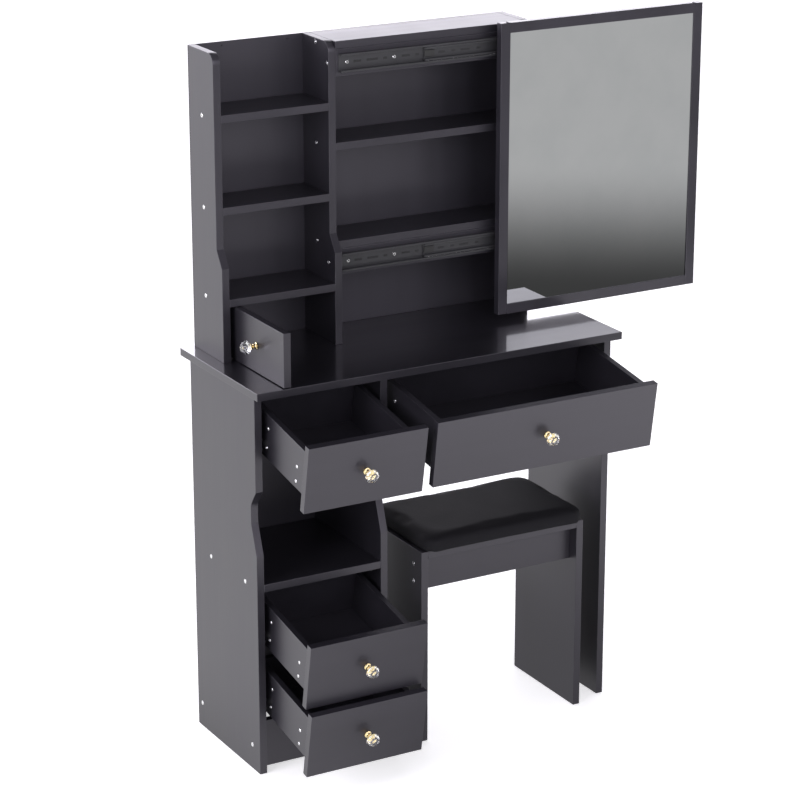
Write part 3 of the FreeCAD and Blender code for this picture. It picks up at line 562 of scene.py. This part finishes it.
def knobFrame(owner):
    # matrix from knob space, with Z out of the face, to its place
    board = "door_panel" if owner == "door" else owner + "_front"
    gemLow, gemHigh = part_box(owner + "_knob_crystal")
    middle = (gemLow + gemHigh) / 2
    out = faceNormal(board, middle)
    gemTop = max(v.co.dot(out) for v in nodes[owner + "_knob_crystal"].data.vertices)
    base = middle + out * (gemTop - knobCut["length"] - middle.dot(out))
    return Matrix.Translation(base) @ out.to_track_quat("Z", "Y").to_matrix().to_4x4()


def ringAt(bm, count, radius, height, turn=0.0):
    made = bmesh.ops.create_circle(bm, cap_ends=False, segments=count, radius=radius)
    bmesh.ops.rotate(bm, verts=made["verts"], cent=(0, 0, 0), matrix=Matrix.Rotation(turn, 3, "Z"))
    bmesh.ops.translate(bm, verts=made["verts"], vec=(0, 0, height))


def cutCrystal(owner, place):
    # rings of corners, each given as radius and height, with flat facets stretched between them
    bm = bmesh.new()
    sides = knobCut["sides"]
    half = math.pi / sides
    for ring, count, turn in (("back", sides, 0), ("lowerCut", sides, half), ("girdle", 2 * sides, 0),
                              ("girdleTop", 2 * sides, 0), ("upperCut", sides, half), ("table", sides, 0)):
        ringAt(bm, count, *knobCut[ring], turn)
    bmesh.ops.convex_hull(bm, input=bm.verts, use_existing_faces=False)
    loose = [e for e in bm.edges if not e.link_faces]
    bmesh.ops.delete(bm, geom=loose, context="EDGES")
    bmesh.ops.transform(bm, matrix=place, verts=bm.verts)
    mesh = meshFrom(bm, owner + "_cut_crystal")
    piece = addPiece(owner + "_cut_crystal", mesh, owner, clearCrystal)
    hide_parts(owner + "_knob_crystal")


def turnedProfile(bm, profile, steps=32):
    # spins a half outline, given as radius and height, about Z
    verts = [bm.verts.new((radius, 0, height)) for radius, height in profile]
    edges = [bm.edges.new(pair) for pair in zip(verts, verts[1:])]
    bmesh.ops.spin(bm, geom=verts + edges, cent=(0, 0, 0), axis=(0, 0, 1), angle=2 * math.pi, steps=steps,
                   use_merge=True, use_duplicate=False)
    bmesh.ops.remove_doubles(bm, verts=bm.verts, dist=weldGap / 2)


def moveInto(bm, made, place):
    # sets a finished small part down among the others
    bmesh.ops.transform(made, matrix=place, verts=made.verts)
    carrier = bpy.data.meshes.new("carrier")
    made.to_mesh(carrier)
    made.free()
    bm.from_mesh(carrier)
    bpy.data.meshes.remove(carrier)


def brassStem(owner, place):
    bm = bmesh.new()
    foot, waist = knobCut["foot"], knobCut["waist"]
    profile = [(0, 0.0003), (foot - 0.0004, 0.0003), (foot, 0.0008), (foot, 0.0018), (foot - 0.0012, 0.0024),
               (waist + 0.0009, 0.0031), (waist, 0.0045), (waist, 0.0062), (waist + 0.0011, 0.0068),
               (waist + 0.0011, 0.0078), (waist, 0.0084), (waist + 0.0006, 0.0104), (0.0068, 0.0136),
               (0.0070, 0.0140), (0.0062, 0.0143), (0.0049, 0.0136), (0, 0.0134)]
    turnedProfile(bm, profile)
    bmesh.ops.transform(bm, matrix=place, verts=bm.verts)
    mesh = meshFrom(bm, owner + "_brass_neck")
    piece = addPiece(owner + "_brass_neck", mesh, owner, brassNeck, smooth=40)
    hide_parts(owner + "_knob_stem")


for owner in drawerNames + ("door",):
    place = knobFrame(owner)
    brassStem(owner, place)
    cutCrystal(owner, place)
print("knobs made")

# screws

screwShape = {
    "sides": 24,
    "head": 0.0045,
    "thick": 0.003,
    "shank": 0.0025,
    "length": 0.040,
    "chamfer": 0.0005,
    "arm": 0.0023,
    "slot": 0.0005,
    "deep": 0.0014,
    "taper": (0.75, 0.7),
    "stagger": 37,
}


def crossMouth(bm, reach, half):
    # edges round a cross, three corners to each arm
    arm = [Vector((half, -half, 0)), Vector((reach, -half, 0)), Vector((reach, half, 0))]
    verts = []
    for quarter in range(4):
        turn = Matrix.Rotation(quarter * math.pi / 2, 3, "Z")
        verts += [bm.verts.new(turn @ corner) for corner in arm]
    return [bm.edges.new(pair) for pair in zip(verts, verts[1:] + verts[:1])]


def sinkCross(bm, mouth, half):
    # the walls of the recess narrow as they go down to its floor
    sunk = bmesh.ops.extrude_edge_only(bm, edges=mouth)["geom"]
    reachTaper, slotTaper = screwShape["taper"]
    for vert in sunk:
        if isinstance(vert, bmesh.types.BMVert):
            for axis in (0, 1):
                vert.co[axis] *= slotTaper if abs(vert.co[axis]) < half + weldGap else reachTaper
            vert.co.z = -screwShape["deep"]
    floor = [e for e in sunk if isinstance(e, bmesh.types.BMEdge) and e.is_boundary]
    bmesh.ops.contextual_create(bm, geom=floor)


def turnedPart(bm, profile, place):
    made = bmesh.new()
    turnedProfile(made, profile, screwShape["sides"])
    moveInto(bm, made, place)


def addScrew(bm, place, size):
    # the screw's axis is Z, with the face of its head at zero
    head, thick, shank, chamfer = size["head"], size["thick"], size["shank"], screwShape["chamfer"]
    made = bmesh.new()
    turnedProfile(made, [(0, -size["length"]), (shank, -size["length"]), (shank, -thick), (head, -thick),
                         (head, -chamfer), (head - chamfer, 0)], screwShape["sides"])
    rim = [e for e in made.edges if e.is_boundary]
    mouth = crossMouth(made, screwShape["arm"], screwShape["slot"])
    bmesh.ops.triangle_fill(made, use_beauty=True, use_dissolve=False, edges=rim + mouth)
    sinkCross(made, mouth, screwShape["slot"])
    moveInto(bm, made, place)


def looseParts(nodeName):
    # the corners of each separate solid in a node, in the same order every time
    bm = bmesh.new()
    bm.from_mesh(nodes[nodeName].data)
    bmesh.ops.remove_doubles(bm, verts=bm.verts, dist=weldGap)
    left, parts = set(bm.verts), []
    for first in bm.verts:
        if first not in left:
            continue
        left.remove(first)
        stack, found = [first], []
        while stack:
            vert = stack.pop()
            found.append(vert.co.copy())
            for edge in vert.link_edges:
                other = edge.other_vert(vert)
                if other in left:
                    left.remove(other)
                    stack.append(other)
        parts.append(found)
    bm.free()
    return sorted(parts, key=lambda part: [round(bounds(part)[0][axis], 4) for axis in (0, 2, 1)])


def bounds(points):
    return [Vector(pick(p[i] for p in points) for i in range(3)) for pick in (min, max)]


def turnedOut(point, out, spin):
    # a place at a point with Z along the outward way
    return (Matrix.Translation(point) @ out.to_track_quat("Z", "Y").to_matrix().to_4x4()
            @ Matrix.Rotation(math.radians(spin), 4, "Z"))


def panelScrews(nodeName, body):
    bm = bmesh.new()
    for i, part in enumerate(looseParts(nodeName)):
        low, high = bounds(part)
        middle = (low + high) / 2
        wide = [p.x for p in part if math.hypot(p.y - middle.y, p.z - middle.z) > screwShape["head"] * 0.9]
        way = -1 if sum(wide) / len(wide) < middle.x else 1
        face = Vector((low.x if way < 0 else high.x, middle.y, middle.z))
        addScrew(bm, turnedOut(face, Vector((way, 0, 0)), i * screwShape["stagger"]), screwShape)
    piece = addPiece(nodeName + "_cross_headed", meshFrom(bm, nodeName + "_cross_headed"), body,
                     brightScrew)
    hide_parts(nodeName)


panelScrews("panel_screws", "desk")
panelScrews("stool_screws", "stool")

boxScrew = {
    "head": 0.0034,
    "thick": 0.0010,
    "shank": 0.0012,
    "length": 0.009,
    "spots": ((0.043, 0.50), (0.043, 0.16), (0.163, 0.70), (0.163, 0.25)),
}


def boxScrews(owner):
    # an upright pair of round heads near each end of the drawn-out part of the box wall
    knobSpot = sum(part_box(owner + "_knob_crystal"), Vector()) / 2
    out = faceNormal(owner + "_front", knobSpot)
    up = Vector((0, out.z, -out.y))
    walls = nodes[owner + "_box_walls"].data.vertices
    front = max(v.co.dot(out) for v in walls)
    heights = [v.co.dot(up) for v in walls]
    bottom, top = min(heights), max(heights)
    low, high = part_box(owner + "_box_walls")
    bm = bmesh.new()
    for x, way in ((low.x, -1), (high.x, 1)):
        for i, (behind, rise) in enumerate(boxScrew["spots"]):
            spot = out * (front - behind) + up * (bottom + (top - bottom) * rise)
            spot.x = x + way * boxScrew["thick"]
            addScrew(bm, turnedOut(spot, Vector((way, 0, 0)), i * screwShape["stagger"]), boxScrew)
    addPiece(owner + "_box_screws", meshFrom(bm, owner + "_box_screws"), owner, brightScrew)


for owner in drawerNames:
    boxScrews(owner)

bracketScrew = {
    "head": 0.0036,
    "thick": 0.0009,
    "shank": 0.0014,
    "length": 0.011,
    "steel": 0.0015,
    "shift": 0.002,
}


def bracketScrews():
    # one screw up through each flat leg and one through each upright leg
    bm = bmesh.new()
    for i, part in enumerate(looseParts("corner_brackets")):
        low, high = bounds(part)
        middle = (low + high) / 2
        upright = [p.x for p in part if p.z < low.z + bracketScrew["shift"]]
        way = 1 if sum(upright) / len(upright) < middle.x else -1
        wall = low.x if way > 0 else high.x
        steel = bracketScrew["steel"] + bracketScrew["thick"]
        under = Vector((middle.x + way * bracketScrew["shift"], middle.y, high.z - steel))
        beside = Vector((wall + way * steel, middle.y, middle.z - bracketScrew["shift"]))
        for spot, out in ((under, Vector((0, 0, -1))), (beside, Vector((way, 0, 0)))):
            addScrew(bm, turnedOut(spot, out, i * screwShape["stagger"]), bracketScrew)
    addPiece("bracket_screws", meshFrom(bm, "bracket_screws"), "desk", brightScrew)


bracketScrews()

tack = {
    "head": 0.0030,
    "thick": 0.0007,
    "shank": 0.0006,
    "length": 0.010,
    "point": 0.002,
    "space": 0.14,
    "edge": 0.0075,
    "end": 0.02,
}


def backTacks():
    # small nails along the edges of both hardboard backs
    bm = bmesh.new()
    for nodeName in ("hutch_back_panel", "desk_back_panel"):
        low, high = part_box(nodeName)
        tall = max(2, round((high.z - low.z) / tack["space"]))
        wide = max(1, round((high.x - low.x) / tack["space"]))
        spots = [(x, low.z + tack["end"] + (high.z - low.z - 2 * tack["end"]) * i / tall)
                 for x in (low.x + tack["edge"], high.x - tack["edge"]) for i in range(tall + 1)]
        spots += [(low.x + (high.x - low.x) * (i + 0.5) / wide, high.z - tack["edge"]) for i in range(wide)]
        for x, z in spots:
            place = turnedOut(Vector((x, high.y + tack["thick"], z)), Vector((0, 1, 0)), 0)
            turnedPart(bm, [
                (0, -tack["length"]), (tack["shank"] * 0.3, -tack["length"]),
                (tack["shank"], -tack["length"] + tack["point"]), (tack["shank"], -tack["thick"]),
                (tack["head"], -tack["thick"]), (tack["head"], -tack["thick"] * 0.6),
                (tack["head"] * 0.7, 0), (0, 0)], place)
    addPiece("back_tacks", meshFrom(bm, "back_tacks"), "desk", slotShadeAndDarkSteel)


backTacks()
print("screws and tacks made")

# slide and runner details

slideDetail = {
    "ball": 0.00145,
    "step": 0.009,
    "margin": 0.006,
    "cageThick": 0.0005,
    "cageDepth": 0.0058,
    "web": 0.0012,
    "webScrews": (0.018, 0.120),
    "screw": {"head": 0.0036, "thick": 0.0006, "shank": 0.0015, "length": 0.012},
    "slotDepth": 0.0013,
    "slotThick": 0.0004,
    "outerSlot": 0.0045,
    "middleSlot": 0.0040,
    "outerSlots": ((0.040, 0.016), (0.072, 0.024), (0.100, 0.008), (0.145, 0.018), (0.170, 0.008)),
    "middleSlots": ((0.040, 0.014), (0.066, 0.008), (0.092, 0.020), (0.122, 0.008)),
    "catch": (0.022, 0.0022, 0.0130),
    "catchAt": (0.012, 0.0026),
    "catchRound": 0.0005,
}


def addBar(bm, spot, size):
    bmesh.ops.create_cube(bm, size=1, matrix=Matrix.Translation(spot) @ Matrix.Diagonal((*size, 1)))


def slideCages():
    # a thin strip with balls in each race between the outer and the middle members
    bm = bmesh.new()
    outer = sorted(looseParts("slide_outer_members"), key=lambda part: part[0].z)
    middle = sorted(looseParts("slide_middle_members"), key=lambda part: part[0].z)
    for outside, inside in zip(outer, middle):
        outHigh = bounds(outside)[1]
        inLow, inHigh = bounds(inside)
        depth = (inLow.y + inHigh.y) / 2
        race = (outHigh.z - slideDetail["web"] - inHigh.z) / 2
        start, end = inLow.x + slideDetail["margin"], outHigh.x - slideDetail["margin"]
        count = int((end - start) / slideDetail["step"])
        for level in (inHigh.z + race, inLow.z - race):
            spot = Vector(((start + end) / 2, depth, level))
            addBar(bm, spot, (end - start, slideDetail["cageDepth"], slideDetail["cageThick"]))
            for i in range(count):
                ball = Vector((start + slideDetail["step"] * (i + 0.5), depth, level))
                bmesh.ops.create_icosphere(bm, subdivisions=1, radius=slideDetail["ball"],
                                           matrix=Matrix.Translation(ball))
    addPiece("slide_ball_cages", meshFrom(bm, "slide_ball_cages", weld=0), "slide_middles",
             steelBall, smooth=60)


def slideScrews():
    # flat heads that hold the outer members' webs to their boards
    bm = bmesh.new()
    screw = slideDetail["screw"]
    for part in looseParts("slide_outer_members"):
        low, high = bounds(part)
        for along in slideDetail["webScrews"]:
            spot = Vector((low.x + along, high.y - slideDetail["web"] - screw["thick"], (low.z + high.z) / 2))
            addScrew(bm, turnedOut(spot, Vector((0, -1, 0)), along * 1000), screw)
    addPiece("slide_screws", meshFrom(bm, "slide_screws"), "desk", brightScrew)


def slotShadeSheets(member, nodeName, body):
    # thin dark sheets set just inside the webs, painted shade standing in for the long punched holes
    bm = bmesh.new()
    for part in looseParts(nodeName):
        low, high = bounds(part)
        for along, length in slideDetail[member + "Slots"]:
            spot = Vector((low.x + along, high.y - slideDetail["slotDepth"], (low.z + high.z) / 2))
            addBar(bm, spot, (length, slideDetail["slotThick"], slideDetail[member + "Slot"]))
    name = member + "_slot_shade"
    addPiece(name, meshFrom(bm, name, weld=0), body, slotShadeAndDarkSteel)


def slideCatches():
    # the black catch at each middle member's end
    bm = bmesh.new()
    along, depth = slideDetail["catchAt"]
    for part in looseParts("slide_middle_members"):
        low, high = bounds(part)
        addBar(bm, Vector((low.x + along, high.y - depth, (low.z + high.z) / 2)), slideDetail["catch"])
    bmesh.ops.bevel(bm, geom=bm.edges[:], affect="EDGES", offset=slideDetail["catchRound"],
                    offset_type="OFFSET", segments=2, profile=0.5, material=-1)
    addPiece("slide_catches", meshFrom(bm, "slide_catches"), "slide_middles", blackNylon)


runnerRoller = {
    "panels": ("left_side_panel", "divider_panel"),
    "fromMouth": 0.010,
    "steel": 0.0015,
    "profile": ((0, 0), (0.0025, 0), (0.0025, 0.0008), (0.0066, 0.0008), (0.0070, 0.0014), (0.0070, 0.0066),
                (0.0064, 0.0072), (0.0030, 0.0072), (0.0026, 0.0080), (0, 0.0080)),
}


def runnerRollers():
    # the fixed roller just inside the mouth of each drawer runner
    bm = bmesh.new()
    for part in looseParts("drawer_runners"):
        low, high = bounds(part)
        besidePanel = min(abs(low.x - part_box(board)[1].x) for board in runnerRoller["panels"]) < 0.001
        inward = 1 if besidePanel else -1
        wall = low.x if inward > 0 else high.x
        spot = Vector((wall + inward * runnerRoller["steel"], low.y + runnerRoller["fromMouth"],
                       (low.z + high.z) / 2))
        turnedPart(bm, runnerRoller["profile"], turnedOut(spot, Vector((inward, 0, 0)), 0))
    addPiece("runner_front_rollers", meshFrom(bm, "runner_front_rollers"), "desk", paleNylon,
             smooth=40)


slideCages()
slideScrews()
# the slots are painted shade: dark sheets with no real holes behind them
slotShadeSheets("outer", "slide_outer_members", "desk")
slotShadeSheets("middle", "slide_middle_members", "slide_middles")
slideCatches()
runnerRollers()
print("slide and runner details made")

# stool pad

padShape = {
    "start": 0.004,
    "corner": 0.030,
    "lip": 0.010,
    "voxel": 0.006,
    "pressure": 4.0,
    "steps": 20,
    "cap": 0.006,
    "crown": 0.004,
    "inside": 0.0002,
    "fill": 0.75,
}


def stoolPad():
    low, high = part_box("stool_seat_pad")
    shrink = padShape["start"]
    size = high - low - Vector((2 * shrink, 2 * shrink, shrink))
    centre = (low + high) / 2 - Vector((0, 0, shrink / 2))
    bm = bmesh.new()
    bmesh.ops.create_cube(bm, size=1, matrix=Matrix.Translation(centre) @ Matrix.Diagonal((*size, 1)))
    uprights = [e for e in bm.edges if abs(e.verts[0].co.z - e.verts[1].co.z) > 0.01]
    bmesh.ops.bevel(bm, geom=uprights, affect="EDGES", offset=padShape["corner"], offset_type="OFFSET",
                    segments=8, profile=0.5, material=-1)
    rim = [e for e in bm.edges if all(v.co.z > centre.z for v in e.verts)
           and any(abs(f.normal.z) < 0.1 for f in e.link_faces)]
    bmesh.ops.bevel(bm, geom=rim, affect="EDGES", offset=padShape["lip"], offset_type="OFFSET",
                    segments=5, profile=0.5, material=-1)
    mesh = meshFrom(bm, "stoolPadCover")
    pad = addPiece("stool_pad_cover", mesh, "stool", blackLeatherette)
    remesh = pad.modifiers.new("voxels", "REMESH")
    remesh.mode = "VOXEL"
    remesh.voxel_size = padShape["voxel"]
    applyModifiers(pad)
    puffPad(pad)
    tidyPad(pad, low, high)
    smoothing = pad.modifiers.new("smooth", "SUBSURF")
    smoothing.levels = 1
    smoothing.render_levels = 1
    pad.data.shade_smooth()
    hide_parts("stool_seat_pad")


def applyModifiers(piece):
    graph = bpy.context.evaluated_depsgraph_get()
    made = bpy.data.meshes.new_from_object(piece.evaluated_get(graph), depsgraph=graph)
    materials = list(piece.data.materials)
    piece.modifiers.clear()
    piece.data = made
    made.materials.clear()
    for item in materials:
        made.materials.append(item)


def puffPad(pad):
    # the cover swells under its foam, and no point goes further than the cap
    start = [v.co.copy() for v in pad.data.vertices]
    cloth = pad.modifiers.new("cloth", "CLOTH")
    cloth.settings.use_pressure = True
    cloth.settings.uniform_pressure_force = padShape["pressure"]
    cloth.settings.effector_weights.gravity = 0
    cloth.settings.quality = 5
    cloth.point_cache.frame_start = 1
    cloth.point_cache.frame_end = padShape["steps"]
    for step in range(1, padShape["steps"] + 1):
        scene.frame_set(step)
    applyModifiers(pad)
    scene.frame_set(1)
    for vertex, before in zip(pad.data.vertices, start):
        move = vertex.co - before
        if move.length > padShape["cap"]:
            vertex.co = before + move.normalized() * padShape["cap"]


def tidyPad(pad, low, high):
    # flat underneath, crowned on top, inside the space that the pad has
    for vertex in pad.data.vertices:
        co = vertex.co
        across = (co.x - low.x) / (high.x - low.x) * 2 - 1
        along = (co.y - low.y) / (high.y - low.y) * 2 - 1
        crown = (1 - across ** 4) * (1 - along ** 4)
        upper = max(0.0, (co.z - low.z) / (high.z - low.z))
        co.z = min(co.z - padShape["crown"] * upper * (1 - crown), high.z - padShape["inside"])
        co.z = max(co.z, low.z + padShape["inside"])


stoolPad()
print("stool pad made")

# floor, light and surroundings

studio = {
    "floor": (0.93, 0.93, 0.93),
    "floorRoughness": 0.7,
    "floorShine": 0.2,
    "floorGlow": 0.55,
    "horizon": 1.1,
    "zenith": 0.12,
    "backdrop": 3.4,
    "foreground": 0.55,
    "aim": (0, 0, 0.7),
    "left": ((-4.5, -1.0, 2.4), (3.0, 3.0), 150.0),
    "front": ((-1.0, -5.5, 3.2), (3.5, 2.5), 75.0),
    "top": ((0.5, -0.5, 4.5), (3.0, 3.0), 12.0),
    "cool": (0.985, 0.96, 1.04),
    "bandAlong": (0.5, -0.87, 0.0),
    "bandNear": (2.0, 2.5),
    "bandFar": (2.9, 4.6),
    "bandDark": 0.02,
    "nearLight": 1.4,
    "glow": (0.8, 1.8),
    "glowLight": 2.6,
    "farLight": 0.42,
    # painted shadow of the table on the floor, as reflections see it
    "shade": (0.25, 0.15, 0.0),
    "shadeReach": (0.5, 1.05),
    "shadeDark": 0.4,
}


def ramp(tree, source, start, end, low, high, place=(0, 0)):
    # a smooth change from one value to another
    node = addNode(tree, "ShaderNodeMapRange", place, interpolation_type="SMOOTHSTEP")
    for name, value in (("From Min", start), ("From Max", end), ("To Min", low), ("To Max", high)):
        node.inputs[name].default_value = value
    tree.links.new(source, node.inputs["Value"])
    return node.outputs["Result"]


def joinValues(tree, operation, first, second, place=(0, 0)):
    node = addNode(tree, "ShaderNodeMath", place, operation=operation)
    for socket, value in zip(node.inputs, (first, second)):
        if isinstance(value, float):
            socket.default_value = value
        else:
            tree.links.new(value, socket)
    return node.outputs[0]


def floorFinish():
    # a white sweep; what shines sees painted light on it: a brighter pool, then a dark band before the lit
    # far wall, and a painted shadow of the table round its foot
    material = bpy.data.materials.new("paleFloor")
    material.use_nodes = True
    tree = material.node_tree
    shader = tree.nodes["Principled BSDF"]
    shader.inputs["Base Color"].default_value = (*studio["floor"], 1)
    shader.inputs["Roughness"].default_value = studio["floorRoughness"]
    shader.inputs["Specular IOR Level"].default_value = studio["floorShine"]
    shader.inputs["Emission Color"].default_value = (1, 1, 1, 1)
    shader.inputs["Emission Strength"].default_value = studio["floorGlow"]
    place = addNode(tree, "ShaderNodeTexCoord", (-1200, -300))
    along = addNode(tree, "ShaderNodeVectorMath", (-1000, -300), operation="DOT_PRODUCT")
    along.inputs[1].default_value = studio["bandAlong"]
    tree.links.new(place.outputs["Object"], along.inputs[0])
    run = along.outputs["Value"]
    # painted light: a brighter pool of floor glow that only reflections see
    rise = ramp(tree, run, *studio["glow"], studio["nearLight"], studio["glowLight"], (-750, 50))
    edge = ramp(tree, run, *studio["bandNear"], 1.0, studio["bandDark"], (-750, -200))
    near = joinValues(tree, "MULTIPLY", rise, edge, (-500, -100))
    # painted shadow: the glow that reflections see is dimmed near the table
    centre = addNode(tree, "ShaderNodeVectorMath", (-1000, -600), operation="DISTANCE")
    centre.inputs[1].default_value = studio["shade"]
    tree.links.new(place.outputs["Object"], centre.inputs[0])
    shade = ramp(tree, centre.outputs["Value"], *studio["shadeReach"], studio["shadeDark"], 1.0, (-750, -700))
    near = joinValues(tree, "MULTIPLY", near, shade, (-500, -600))
    far = ramp(tree, run, *studio["bandFar"], 0.0, studio["farLight"], (-750, -450))
    glow = joinValues(tree, "ADD", near, far, (-500, -300))
    shine = addNode(tree, "ShaderNodeEmission", (-250, -300))
    tree.links.new(glow, shine.inputs["Strength"])
    path = addNode(tree, "ShaderNodeLightPath", (-250, 350))
    pick = addNode(tree, "ShaderNodeMixShader", (100, 100))
    tree.links.new(path.outputs["Is Glossy Ray"], pick.inputs[0])
    tree.links.new(shader.outputs[0], pick.inputs[1])
    tree.links.new(shine.outputs[0], pick.inputs[2])
    tree.links.new(pick.outputs[0], tree.nodes["Material Output"].inputs["Surface"])
    return material


def makeFloor():
    bm = bmesh.new()
    bmesh.ops.create_circle(bm, cap_ends=True, segments=96, radius=30)
    mesh = meshFrom(bm, "studioFloor")
    floor = bpy.data.objects.new("studioFloor", mesh)
    scene.collection.objects.link(floor)
    floor.location = (0, 0, -0.0005)
    mesh.materials.append(floorFinish())


def softbox(name, place, size, power):
    data = bpy.data.lights.new(name, "AREA")
    data.shape = "RECTANGLE"
    data.size, data.size_y = size
    data.energy = power
    data.color = studio["cool"]
    lamp = bpy.data.objects.new(name, data)
    scene.collection.objects.link(lamp)
    lamp.location = place
    lamp.rotation_euler = (Vector(studio["aim"]) - Vector(place)).to_track_quat("-Z", "Y").to_euler()


def makeWorld():
    # white to the eye; as light, bright before and behind, dim overhead
    world = bpy.data.worlds.new("studioWorld")
    scene.world = world
    world.use_nodes = True
    tree = world.node_tree
    back = tree.nodes["Background"]
    back.inputs["Color"].default_value = (*studio["cool"], 1)
    place = addNode(tree, "ShaderNodeTexCoord", (-1100, 0))
    split = addNode(tree, "ShaderNodeSeparateXYZ", (-900, 0))
    tree.links.new(place.outputs["Generated"], split.inputs[0])
    height = split.outputs["Z"]
    depth = split.outputs["Y"]
    sky = ramp(tree, height, 0.05, 0.75, studio["horizon"], studio["zenith"], (-650, 150))
    low = ramp(tree, height, 0.3, 0.65, 1.0, 0.0, (-650, -100))
    behind = ramp(tree, depth, 0.2, 0.75, 0.0, studio["backdrop"], (-650, -350))
    before = ramp(tree, depth, -0.75, -0.2, studio["foreground"], 0.0, (-650, -600))
    around = joinValues(tree, "ADD", behind, before, (-450, -450))
    lit = joinValues(tree, "MULTIPLY", low, around, (-400, -200))
    strength = joinValues(tree, "ADD", sky, lit, (-200, 0))
    tree.links.new(strength, back.inputs["Strength"])
    seen = addNode(tree, "ShaderNodeBackground", (0, -200))
    seen.inputs["Color"].default_value = (1, 1, 1, 1)
    seen.inputs["Strength"].default_value = 1.0
    pick = addNode(tree, "ShaderNodeMixShader", (250, 0))
    path = addNode(tree, "ShaderNodeLightPath", (0, 250))
    tree.links.new(path.outputs["Is Camera Ray"], pick.inputs[0])
    tree.links.new(back.outputs[0], pick.inputs[1])
    tree.links.new(seen.outputs[0], pick.inputs[2])
    tree.links.new(pick.outputs[0], tree.nodes["World Output"].inputs["Surface"])


makeFloor()
for side in ("left", "front", "top"):
    softbox(side + "Softbox", *studio[side])
makeWorld()
scene.view_settings.view_transform = "Standard"
print("studio lit")
